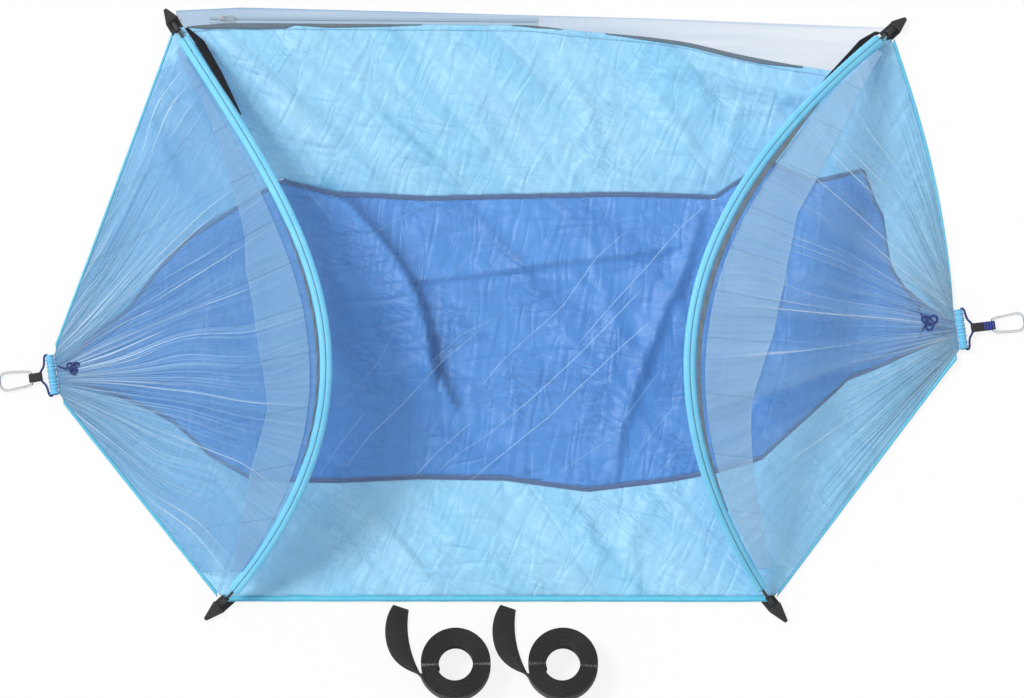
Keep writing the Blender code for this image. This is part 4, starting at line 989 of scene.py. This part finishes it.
facing("facing_left_corner", "left", (0.012, 0.04, 0.10, 0.185), (0.018, 0.026, 0.023, 0.0165),
       (0.008, 0.020, 0.018, 0.003), ripstop, 0.0075)
facing("facing_right_corner", "right", (0.012, 0.035, 0.07, 0.13), (0.018, 0.022, 0.019, 0.0150),
       (0.012, 0.018, 0.010, 0.002), ripstop, 0.002)
facing("facing_right_outer", "right", (0.17, 0.26, 0.50, 0.75, 0.88),
       (-0.0150, -0.0195, -0.0185, -0.0170, -0.0150), (0.002, 0.011, 0.010, 0.007, 0.002),
       binding_finish, 0.004)
facing("facing_left_outer", "left", (0.40, 0.50, 0.66, 0.80), (-0.0150, -0.0160, -0.0160, -0.0150),
       (0.002, 0.005, 0.005, 0.002), binding_finish, 0.004)


# Netting: white polyester mosquito net from the bed's edge to each sleeve, doubled beside the
# sleeves, and across from arch to arch. It is cut in gores.

NET_THICKNESS = 0.0012
NET_SHOWN = NET_THICKNESS * 0.25
NET_LIFT = 0.0056
NET_SEWING_GAP = 0.0016
NET_ENDS_SHARES = (0.045, 0.955)
ROOF_ENDS_SHARES = (0.013, 0.987)
GATHER_TURN_SHARES = (0.40, 0.60)
FLAP_LIFT = 0.0032
FLAP_END = 0.965
# Places across each end net, and how far from its outer edge to the sleeve the doubled strip starts
FLAP_PLACES = {"left": (0.05, 0.11, 0.16, 0.20, 0.26, 0.30, 0.45, 0.56, 0.62, 0.76, 0.86, 0.97),
               "right": (0.04, 0.10, 0.16, 0.22, 0.28, 0.33, 0.38, 0.50, 0.58, 0.64, 0.71, 0.83, 0.97)}
FLAP_INNER = {"left": (0.70, 0.65, 0.67, 0.68, 0.74, 0.775, 0.775, 0.795, 0.835, 0.855, 0.88, 0.76),
              "right": (0.62, 0.68, 0.71, 0.73, 0.745, 0.725, 0.715, 0.71, 0.735, 0.76, 0.735, 0.72, 0.78)}
FAN_STEP = math.radians(2.3)
FAN_ORIGIN = 0.045
# An end net's noise seed, how far its streaks reach in metres, and how thin its veil gets
FAN_LOOKS = {"left": (3.0, 0.42, 0.17), "right": (5.0, 0.27, 0.07)}


def netting(name, colour, bright):
    """Knitted net: mostly holes, its cover in the veil tag, with bright threads along creases."""
    made, tree, shader = new_finish(name, Roughness=0.8, Sheen_Weight=0.2)
    coordinate = add_node(tree, "TexCoord").outputs["UV"]
    veil = add_node(tree, "Attribute", attribute_name="veil")
    # Holes 1.5 mm wide in the real net, drawn at 2.4 mm so that they can be seen
    threads = crossed(tree, coordinate, (0.0024, 0.0024), "MAXIMUM")
    threads = add_node(tree, "MapRange", {"Value": threads, "To Min": 0.7, "To Max": 1.15})
    streak, line = comb_share(tree)
    thick = add_node(tree, "Math", (streak, 2.0), operation="MULTIPLY")
    thick = add_node(tree, "Math", (thick, veil), operation="MULTIPLY")
    cover = add_node(tree, "Math", (thick, threads), operation="MULTIPLY")
    crease = crease_share(tree, 0.0019)
    crease = add_node(tree, "Math", (line, 0.75, crease), operation="MULTIPLY_ADD", use_clamp=True)
    alpha = add_node(tree, "Math", (crease, 0.36, cover), operation="MULTIPLY_ADD", use_clamp=True)
    tree.links.new(alpha.outputs["Value"], shader.inputs["Alpha"])
    colour_and_relief(tree, shader, crease, colour, bright)
    return made


# Knitted polyester net, white, with its colour painted blue-grey: painted blue light from the
# cloth round it, and painted shade. What lies under it shows through, a little dulled. The right
# end's net has a thinner veil and is painted lighter, a painted light for the side that faces
# away from the sun.
SINGLE_NET = {"left": netting("knitted_polyester_net", "#7AB0DE", "#D6EDFB"),
              "right": netting("knitted_polyester_net_painted_lighter", "#A6D2F2", "#E2F4FE")}
# The same nets lying doubled beside the sleeves, where they look paler and cover more. Their
# colour is painted the same way, the right one lighter.
DOUBLED_NET = {"left": netting("knitted_polyester_net_doubled", "#86B4DC", "#D6EDFB"),
               "right": netting("knitted_polyester_net_doubled_painted_lighter", "#ACD6F6", "#E2F4FE")}


def outer_edge(side, v):
    """An end net's outer edge: from the front corner round the gathered end to the back one."""
    gathered, chord = (0.0, 1.0) if side == "left" else (3.0, 2.0)
    low, high = GATHER_TURN_SHARES
    front_part = bed_plan(chord + (gathered - chord) * np.clip(v / low, 0, 1) * 0.9999, 0.0)
    back_part = bed_plan(gathered + (chord - gathered) * np.clip((v - high) / (1 - high), 0, 1), 1.0)
    middle = bed_plan(gathered, np.clip((v - low) / (high - low), 0, 1))
    point = np.where((v < low)[..., None], front_part, np.where((v > high)[..., None], back_part, middle))
    point[..., 2] = NET_LIFT + (CHANNEL_Z - BED_LIFT) * np.interp(v, (0.25, 0.40, 0.60, 0.75), (0, 1, 1, 0))
    return point


def end_net(side, s, v, lift=0.0):
    """An end net, straight from its outer edge (s 0) to the sleeve (s 1), and its tags.

    Creases leave the gathered end in every direction, a few degrees apart and a little bent. The
    cloth stands up along them, and the net is thickest where they meet.
    """
    arch = ARCHES[side]
    target = arch.at(1.0 - v) - arch.level * (SLEEVE_HALF_WIDTH + NET_SEWING_GAP)
    point = outer_edge(side, v)
    point = point + (target - point) * s[..., None]
    x0, y0, yaw = ENDS[side]
    inwards = (-math.cos(yaw), -math.sin(yaw))
    x, y = point[..., 0] - x0, point[..., 1] - y0
    along = x * inwards[0] + y * inwards[1] + FAN_ORIGIN
    across = y * inwards[0] - x * inwards[1]
    reach, angle = np.hypot(along, across), np.arctan2(across, along)
    seed, comb_reach, least_veil = FAN_LOOKS[side]
    ray = 60 + angle / FAN_STEP + 2.0 * noise(reach / 0.15, angle * 7 + 40, seed)
    strong = noise(reach / 0.20, np.floor(ray) * 5.3, seed + 1)
    fade = np.clip((1.03 - s) / 0.30, 0, 1) * np.clip(s * 12, 0, 1)
    streak = noise(reach / 0.5, angle * 15 + 60, seed + 2)
    body = np.sin(np.pi * np.clip(s, 0, 1)) ** 0.8 * np.minimum(1, np.minimum(v, 1 - v) * 9)
    ridge = np.clip(1 - np.abs(ray % 1 - 0.5) * 4, 0, 1)
    point[..., 2] += body * (0.005 * ridge * strong + 0.016 * streak) + lift - NET_THICKNESS / 2 * s
    close = np.exp(-((reach / 0.15) ** 2))
    tags = {"ray": ray, "pitch": reach * FAN_STEP,
            "press": np.clip(strong * 3.2 - 1.9, 0, 1) * fade,
            "comb": np.clip(1.25 - reach / comb_reach, 0.10, 1) * np.clip(reach / 0.05 - 0.8, 0, 1),
            "veil": least_veil + 0.12 * streak ** 2 + 0.12 * close * (0.4 + streak)}
    return point, tags


# How bright, then the pixels that each crease of the roof passes
ROOF_CREASES = (
    (0.8, (321, 483), (340, 455), (366, 421)),
    (0.7, (346, 474), (372, 440), (404, 409), (445, 361), (481, 332)),
    (0.9, (415, 477), (437, 453), (472, 421)), (0.7, (440, 470), (459, 452), (488, 433), (520, 409)),
    (1.0, (500, 424), (531, 400), (559, 375), (606, 333), (640, 300)),
    (1.0, (470, 478), (501, 453), (548, 418), (579, 389), (623, 353), (650, 332)),
    (0.6, (642, 450), (660, 430), (682, 408)), (0.6, (650, 484), (672, 462), (690, 446)),
    (0.8, (480, 388), (500, 365), (529, 338), (563, 308), (597, 262), (626, 237)),
    (0.9, (580, 345), (603, 321), (647, 275), (680, 238), (704, 217)),
    (0.4, (340, 420), (380, 370), (400, 330)),
    (0.5, (560, 470), (610, 440), (660, 380)), (0.4, (430, 300), (470, 260), (500, 215)),
    (0.5, (432, 365), (460, 338), (500, 318)), (0.4, (360, 250), (395, 225), (440, 200)),
    (0.5, (268, 150), (300, 188), (335, 230)), (0.4, (360, 150), (400, 110), (420, 60)),
    (0.4, (520, 160), (560, 110), (600, 60)), (0.4, (640, 150), (680, 120), (720, 80)),
    (0.4, (700, 190), (740, 150), (790, 112)), (0.4, (380, 590), (420, 550), (450, 500)),
    (0.4, (560, 580), (600, 545), (640, 510)), (0.4, (300, 540), (330, 510), (350, 480)),
    (0.6, (430, 120), (452, 150), (462, 180)), (0.4, (215, 60), (262, 110), (300, 160)),
)
ROOF_PITCH = 0.10
ROOF_CREASE_RISE = 0.007
ROOF_CREASE_HALF = 0.008
ROOF_CREASE_REACH = 0.014
ROOF_CREASE_LEVEL = 0.09
ROOF_LOW = 0.100


def roof_creases(x, y):
    """The roof's tags, from the signed distance to the nearest crease, and how far that rises."""
    nearest = np.full_like(x, 1e9)
    ray, press, rise = np.full_like(x, 0.95), np.zeros_like(x), np.zeros_like(x)
    for bright, *spots in ROOF_CREASES:
        signed, reached = beside_line(x, y, spots, ROOF_CREASE_LEVEL)
        fade = np.clip(reached * 7 + 0.5, 0, 1) * np.clip((1 - reached) * 7 + 0.5, 0, 1)
        closer = (np.abs(signed) < nearest) & (fade > 0)
        nearest = np.where(closer, np.abs(signed), nearest)
        ray = np.where(closer, 0.5 + np.clip(signed / ROOF_PITCH, -0.45, 0.45), ray)
        press = np.where(closer, bright * fade * (np.abs(signed) < ROOF_CREASE_REACH), press)
        rise = rise + ROOF_CREASE_RISE * bright * fade * np.exp(-((signed / ROOF_CREASE_HALF) ** 2))
    return ray, press, rise


def roof_net(t, w):
    """The roof: t runs from the left sleeve to the right one, w from the front hem to the back.

    It dips between the arches, keeps a soft crown, and widens to the hems away from the sleeves.
    """
    left, right = ARCHES["left"], ARCHES["right"]
    spread = np.minimum(1.0, np.minimum(6 * t, 6 * (1 - t)))
    narrow = NET_ENDS_SHARES[0] + (NET_ENDS_SHARES[1] - NET_ENDS_SHARES[0]) * w
    wide = ROOF_ENDS_SHARES[0] + (ROOF_ENDS_SHARES[1] - ROOF_ENDS_SHARES[0]) * w
    v = narrow + (wide - narrow) * spread
    side = SLEEVE_HALF_WIDTH + NET_SEWING_GAP
    a = left.at(1.0 - v) + left.level * side
    b = right.at(1.0 - v) + right.level * side
    point = a + (b - a) * t[..., None]
    crown = np.sin(np.pi * np.clip(w, 0, 1))
    low = NET_LIFT + ROOF_LOW * crown + 0.010 * crown * np.sin(2 * np.pi * (3 * t + 2 * w))
    keep = np.abs(2 * t - 1) ** 2
    x, y = point[..., 0], point[..., 1]
    body = crown ** 0.5 * (1 - keep ** 3)
    ray, press, rise = roof_creases(x, y)
    rise = rise + 0.005 * crinkles(x, y, 0.82, 0.130, 0.022, 21)
    point[..., 2] = low + (point[..., 2] - NET_THICKNESS / 2 - low) * keep + rise * body
    veil = 0.008 + 0.012 * noise(x / 0.12, y / 0.12, 41) + 0.05 * keep ** 6
    tags = {"ray": ray, "pitch": np.full_like(x, ROOF_PITCH), "press": press * body ** 0.3 * 0.85,
            "comb": np.zeros_like(x), "veil": veil}
    return point, tags


# The shortest blend of an end net, and the roof's blend: a multiple of its sleeve's height, kept
# within two limits
LEAST_BLEND = 0.02
ROOF_BLEND = 2.2
ROOF_BLEND_LIMITS = (0.05, 0.36)


def net_piece(name, sample, first, second, finish, blend_to, at_sleeve, away_edge, node, line=None):
    """One gore of net over a grid of its two parameters, and a line across it from the bed to its arch.

    The line runs level, square to the arch's chord, between the gore's edge away from the
    sleeve and its edge at the sleeve. A doubled strip takes the line of the gore under it. Gives
    the line's ends, as distances.
    """
    arch = ARCHES[blend_to]
    a, b = np.meshgrid(first, second, indexing="ij")
    top, tags = sample(a, b)
    run_a = np.linalg.norm(np.diff(top, axis=0), axis=-1).sum(0).mean()
    run_b = np.linalg.norm(np.diff(top, axis=1), axis=-1).sum(1)
    uv = np.stack(((a - a.min()) / np.ptp(a) * run_a, (b - b.min()) / np.ptp(b) * run_b.max()), -1)
    piece = cloth_body(name, top, uv, NET_SHOWN, finish, tags)
    hinge = arch.back
    if line is None:
        sleeve_line = (top[at_sleeve] - hinge) @ arch.level
        away_line = (top[away_edge] - hinge) @ arch.level
        if sleeve_line.mean() > away_line.mean():
            end = sleeve_line.min()
            start = min(away_line.max(), end - LEAST_BLEND)
        else:
            end = sleeve_line.max()
            start = end + np.clip(ROOF_BLEND * top[at_sleeve][..., 2].mean(), *ROOF_BLEND_LIMITS)
        line = (start, end)
    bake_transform(piece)
    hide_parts(node)
    return line


END_ROWS, FLAP_ROWS, ROOF_ROWS = 110, 40, 100
# How far all the gores of an end net and of the roof reach across, and how far apart their columns
# lie, both roughly and in metres
END_REACH, END_STEP = 1.3, 0.0040
ROOF_REACH, ROOF_STEP = 1.2, 0.0055
# Where the gores meet: shares of an end net's turn round its end, and of the roof's width
END_GORES = (0.045, 0.12, 0.20, 0.29, 0.38, 0.46, 0.54, 0.62, 0.71, 0.80, 0.88, 0.955)
ROOF_GORES = (0.0, 0.06, 0.13, 0.22, 0.33, 0.44, 0.56, 0.67, 0.78, 0.87, 0.94, 1.0)
for side in ARCHES:
    for i, (low, high) in enumerate(zip(END_GORES, END_GORES[1:])):
        across = np.linspace(low, high, max(int((high - low) * END_REACH / END_STEP), 10))
        line = net_piece(f"net_end_{side}_{i + 1}", lambda s, v, p=side: end_net(p, s, v),
                         np.linspace(0, 1, END_ROWS), across, SINGLE_NET[side], side, -1, 0,
                         f"net_end_{side}")
        places = np.interp(across, FLAP_PLACES[side], FLAP_INNER[side])

        def flap(s, v, p=side, starts=places):
            """The doubled strip lies 3 mm over the end net, from its inner edge to the sleeve."""
            share = starts[None] + (FLAP_END - starts[None]) * s
            point, tags = end_net(p, share, v, FLAP_LIFT)
            cloudy = noise(point[..., 0] / 0.05, point[..., 1] / 0.09, 43)
            tags["veil"] = 0.34 + 0.18 * cloudy + 0.08 * (s < 0.05)
            tags["press"] = tags["press"] * 0.5
            return point, tags

        net_piece(f"net_flap_{side}_{i + 1}", flap, np.linspace(0, 1, FLAP_ROWS), across,
                  DOUBLED_NET[side], side, -1, 0, f"net_flap_{side}", line)
    half = (0.0, 0.4995) if side == "left" else (1.0, 0.5005)
    for i, (low, high) in enumerate(zip(ROOF_GORES, ROOF_GORES[1:])):
        across = np.linspace(low, high, max(int((high - low) * ROOF_REACH / ROOF_STEP), 8))
        net_piece(f"net_roof_{side}_{i + 1}", roof_net, np.linspace(*half, ROOF_ROWS), across,
                  SINGLE_NET["left"], side, 0, -1, f"net_roof_{side}")


# Net border: beyond the back hem and under the zip, a strip of doubled net lies on the floor. It
# widens to the right, where the hem turns in, and its outer edge is turned once.

BORDER_EDGE = ((176, 9), (240, 6), (400, 10), (500, 13), (650, 17), (880, 26))
BORDER_LIFT = 0.0014
BORDER_THICKNESS = 0.0010
BORDER_COLUMNS, BORDER_ROWS = 220, 24
rim_places = np.array([plan_spot(*spot) for spot in BORDER_EDGE])
u = np.linspace(1.003, 1.996, BORDER_COLUMNS)[:, None]
w = np.linspace(0, 1, BORDER_ROWS)[None]
none = 0 * u * w
near_line = bed_plan(u, 1 + (HEM_WIDTH + 0.001) / bed_width(u))
far_line = near_line.copy()
far_line[..., 1] = np.maximum(np.interp(near_line[..., 0], rim_places[:, 0], rim_places[:, 1]),
                              near_line[..., 1] + 0.003)
top = near_line + (far_line - near_line) * w[..., None]
top[..., 2] = BORDER_LIFT + 0.0006 * noise(top[..., 0] / 0.05, top[..., 1] / 0.02, 44)
tags = {"ray": none + 0.05, "pitch": none + 0.01, "press": none, "comb": none,
        "veil": (0.26 * (w > 0.955) + 0.30 + 0.20 * noise(top[..., 0] / 0.20, top[..., 1] / 0.012, 45))
                * np.interp(top[..., 0], (-0.1, 0.3, 0.7), (1.0, 0.5, 0.3))}
border = cloth_body("net_border_laid", top, top[..., :2], BORDER_THICKNESS, DOUBLED_NET["left"],
                    tags)
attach(border, "hammock")


# Cord knots: inboard of each gathered end the navy cord's spare is tied in a knot that lies on the
# net, with two short ends left free.

KNOT_HEIGHT = 0.0035
TAIL_POINTS = 30
# Each knot's share of the way from the net's edge to the sleeve, its size, and the headings of its
# two ends in degrees
KNOTS = {"left": (1 / 15, 0.013, 200, 320), "right": (17 / 150, 0.017, 150, 215)}
for side, (share, size, *headings) in KNOTS.items():
    spot, _ = end_net(side, np.array([[share]]), np.array([[0.5]]))
    middle = spot[0, 0] + UP * (CORD_RADIUS + KNOT_HEIGHT)
    turn = circle(96)
    trefoil = np.stack((np.sin(turn) + 2 * np.sin(2 * turn), np.cos(turn) - 2 * np.cos(2 * turn),
                        -np.sin(3 * turn) * CORD_RADIUS * 1.3 * 3 / size), -1) * size / 3
    knot = sweep(f"cord_knot_{side}", middle + trefoil, oval(CORD_RADIUS, CORD_RADIUS, 12), braid,
                 closed=True)
    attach(knot, "hammock")
    for i, heading in enumerate(headings):
        run = np.linspace(0, 1, TAIL_POINTS)
        bend = math.radians(heading) + 0.9 * run * (1 if i else -1)
        steps = np.stack((np.cos(bend), np.sin(bend), 0.0 * run - 0.06), -1) * size * 2.4 / TAIL_POINTS
        tail = middle + np.cumsum(steps, 0) + UP * 0.0008
        end = sweep(f"cord_knot_{side}_end_{i + 1}", tail, oval(CORD_RADIUS * 0.9, CORD_RADIUS * 0.9, 12),
                    braid)
        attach(end, "hammock")


# Zip: a pale tape is sewn along the back hem and carries a nylon coil. On the coil runs a die-cast
# slider, and a wire pull swings on the slider's bridge.

# Die-cast zinc slider, nickel plated and a little worn
plated = grained("nickel_plated_zinc", 700.0, "#A5A7AB", "#D0D2D5", Roughness=0.28, Metallic=1.0)
# Woven polyester zip tape, pale grey like the net that it is sewn to
tape_finish = sewn("woven_zip_tape", "#A3BFD3", "#B3CCDE", "#98B4C8", (0.003, 0.015), 0.8)
# Nylon coil: teeth 1.5 mm apart show as fine cross bands
coil_finish, tree, shader = new_finish("nylon_zip_coil", Roughness=0.4)
teeth = add_node(tree, "TexWave", {"Vector": add_node(tree, "TexCoord").outputs["Object"],
                                   "Scale": WAVE_PERIOD / 0.0015})
colour_and_relief(tree, shader, teeth, "#9DB8CA", "#BDD4E4", 0.0006)
refinish("zip_tape", tape_finish)
refinish("zip_coil", coil_finish)
for node in ("zip_slider", "zip_bridge", "zip_pull"):
    refinish(node, plated)


# Webbing loops and carabiners: a loop of black webbing joins each cord to a pear carabiner bent
# from polished steel rod, with a riveted gate.

WEB_LENGTHS = {"left": 0.018, "right": 0.040}
WEB_WIDTH = 0.017
WEB_THICKNESS = 0.0018
WEB_PLAY = 0.0004
BAR_RADIUS = 0.0029
BAR_Z = 0.0055

# Polished stainless steel, with faint drawing marks
polished = grained("polished_stainless_steel", 260.0, "#C2C5C9", "#E0E2E5", 6.0, Roughness=0.16,
                   Metallic=1.0)


def arc(centre_a, centre_b, radius, start, end, count):
    """Points of an arc, given in degrees."""
    turn = np.radians(np.linspace(start, end, count))
    return np.stack((centre_a + radius * np.cos(turn), centre_b + radius * np.sin(turn)), -1)


# The right loop's outer half is woven with blue stripes across it, 5.6 mm apart
striped, tree, shader = new_finish("polypropylene_webbing_blue_striped", Roughness=0.72, Sheen_Weight=0.1)
coordinate = add_node(tree, "TexCoord").outputs["UV"]
ribs, stripes = (add_node(tree, "TexWave", {"Vector": coordinate, "Scale": WAVE_PERIOD / period})
                 for period in (RIB_PERIOD, 0.0056))
stripe = add_node(tree, "Math", (stripes, 0.55), operation="GREATER_THAN")
colour_and_relief(tree, shader, stripe, "#1A1B24", "#2E47B8", 0.0006, ribs)

for side, web_length in WEB_LENGTHS.items():
    bar_at = CORD_OUT + web_length
    inner_round = CORD_RADIUS + WEB_PLAY + WEB_THICKNESS / 2
    outer_round = BAR_RADIUS + WEB_PLAY + WEB_THICKNESS / 2
    loop = np.vstack((arc(CORD_OUT, CHANNEL_Z, inner_round, 90, 270, 14),
                      arc(bar_at, BAR_Z, outer_round, -90, 90, 14)))
    loop = np.vstack((loop, loop[:1]))
    path = evenly(end_place(side, loop[:, 0], 0.0, loop[:, 1]), 90)[:-1]
    yaw = ENDS[side][2]
    crosswise = np.array((-math.sin(yaw), math.cos(yaw), 0.0))
    belt = sweep(f"webbing_loop_{side}_woven", path, slab(WEB_THICKNESS / 2, WEB_WIDTH / 2), webbing,
                 ups=crosswise, closed=True)
    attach(belt, "hammock")
    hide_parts(f"webbing_loop_{side}")
    if side == "right":
        belt.data.materials.append(striped)
        outer = np.zeros(len(belt.data.polygons), np.int32)
        centres = np.empty(len(belt.data.polygons) * 3)
        belt.data.polygons.foreach_get("center", centres)
        outwards = (math.cos(yaw), math.sin(yaw), 0.0)
        beyond = (centres.reshape(-1, 3) - end_place(side, 0.0, 0.0, 0.0)) @ outwards
        outer[beyond > CORD_OUT + web_length * 0.5] = 1
        belt.data.polygons.foreach_set("material_index", outer)
    refinish(f"carabiner_{side}", polished)
    refinish(f"carabiner_gate_{side}", polished)
    refinish(f"gate_rivet_{side}", drawn)


# Tree straps: two long straps of black webbing, each folded double and rolled up, with the last
# stretch standing off the roll and leaning over.

STRAP_WIDTH = 0.050
STRAP_FOLDED = 0.0047
STRAP_PITCH = 0.0051
STRAP_TURNS = 7
TURN_STEPS = 48
ROLL_RADIUS = 0.0730
ROLLS = {"left": (-0.1136, -0.6291), "right": (0.0998, -0.6291)}
ROLL_END_ANGLE = math.radians(200)
TAIL_LENGTH = 0.140
TAIL_STEPS = 40
TAIL_HEADING = math.radians(121)
TAIL_TURN = math.radians(38)
TAIL_LEAN = math.radians(62)
STRAP_LAYER = 0.0021

for side, (x, y) in ROLLS.items():
    left = np.linspace(STRAP_TURNS, 0, STRAP_TURNS * TURN_STEPS + 1)
    radius = ROLL_RADIUS - STRAP_FOLDED / 2 - STRAP_PITCH * left
    angle = ROLL_END_ANGLE + 2 * np.pi * left
    spiral = np.stack((x + radius * np.cos(angle), y + radius * np.sin(angle)), -1)
    heading = TAIL_HEADING - TAIL_TURN * np.arange(1, TAIL_STEPS + 1) / TAIL_STEPS
    steps = TAIL_LENGTH / TAIL_STEPS * np.stack((np.cos(heading), np.sin(heading)), -1)
    path = np.vstack((spiral, spiral[-1] + np.cumsum(steps, 0)))
    foot = np.pad(path, ((0, 0), (0, 1)))
    along = directions(foot)
    tail_run = np.clip(np.arange(len(path)) - len(spiral) + 1, 0, None) / TAIL_STEPS
    twist = TAIL_LEAN * np.sin(np.pi * tail_run * 0.8)
    aside = np.cross(UP, along)
    leaning = UP * np.cos(twist)[:, None] + aside * np.sin(twist)[:, None]
    outside = np.cross(leaning, along)
    foot[:, 2] = STRAP_FOLDED / 2 * np.sin(twist) * 1.2
    middle = foot + leaning * STRAP_WIDTH / 2
    gap = STRAP_FOLDED / 2 - STRAP_LAYER / 2
    turn = np.linspace(0, np.pi, 9)[1:-1, None]
    tip = middle[-1] + outside[-1] * gap * np.cos(turn) + along[-1] * gap * np.sin(turn)
    band = np.vstack((middle + outside * gap, tip, (middle - outside * gap)[::-1]))
    ups = np.vstack((leaning, np.repeat(leaning[-1:], len(tip), 0), leaning[::-1]))
    strap = sweep(f"strap_roll_{side}_folded", band, slab(STRAP_LAYER / 2, STRAP_WIDTH / 2, 4), webbing, ups)
    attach(strap, f"strap_{side}")
    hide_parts(f"strap_roll_{side}")


# Floor, world and light: a white sheet under an even sky, and one soft sun from the upper left
# that draws the cloth's creases.

FLOOR_HALF = 6.0
FLOOR_LEVEL = -0.0006
PAPER_GLOW = 0.86
SKY_LIGHT = 0.60
SUN_STRENGTH = 1.98
SUN_SPREAD = math.radians(18)
SUN_TURN = (math.radians(-17.2), math.radians(-38.9), 0.0)
floor_mesh = bpy.data.meshes.new("floor")
corners = [(x * FLOOR_HALF, y * FLOOR_HALF, FLOOR_LEVEL) for x, y in ((-1, -1), (1, -1), (1, 1), (-1, 1))]
floor_mesh.from_pydata(corners, [], [(0, 1, 2, 3)])
floor = placed("floor", floor_mesh)
# White paper floor: the camera sees it brighter than it lights the object, with its soft shadow
paper, tree, shader = new_finish("white_paper_floor", Base_Color=(0.9, 0.9, 0.9, 1.0), Roughness=0.9)
glow = add_node(tree, "Emission", {"Color": (1.0, 1.0, 1.0, 1.0), "Strength": 1.0})
rays = add_node(tree, "LightPath")
seen = add_node(tree, "Math", (rays.outputs["Is Camera Ray"], PAPER_GLOW), operation="MULTIPLY")
both = add_node(tree, "MixShader", (seen, shader, glow))
tree.links.new(both.outputs["Shader"], tree.nodes["Material Output"].inputs["Surface"])
floor_mesh.materials.append(paper)

world = bpy.data.worlds.new("studio")
world.use_nodes = True
tree = world.node_tree
sky = tree.nodes["Background"]
rays = add_node(tree, "LightPath")
bright = 0.0
for seen_as in ("Is Camera Ray", "Is Glossy Ray", "Is Transmission Ray"):
    bright = add_node(tree, "Math", (bright, rays.outputs[seen_as]), operation="MAXIMUM")
level = add_node(tree, "MapRange", {"Value": bright, "To Min": SKY_LIGHT, "To Max": 1.0})
tree.links.new(level.outputs["Result"], sky.inputs["Strength"])
sky.inputs["Color"].default_value = (1.0, 1.0, 1.0, 1.0)
bpy.context.scene.world = world

lamp_data = bpy.data.lights.new("key", "SUN")
lamp_data.energy = SUN_STRENGTH
lamp_data.angle = SUN_SPREAD
lamp = placed("key", lamp_data)
lamp.rotation_euler = SUN_TURN

bpy.context.scene.view_settings.view_transform = "Standard"

bpy.context.view_layer.update()
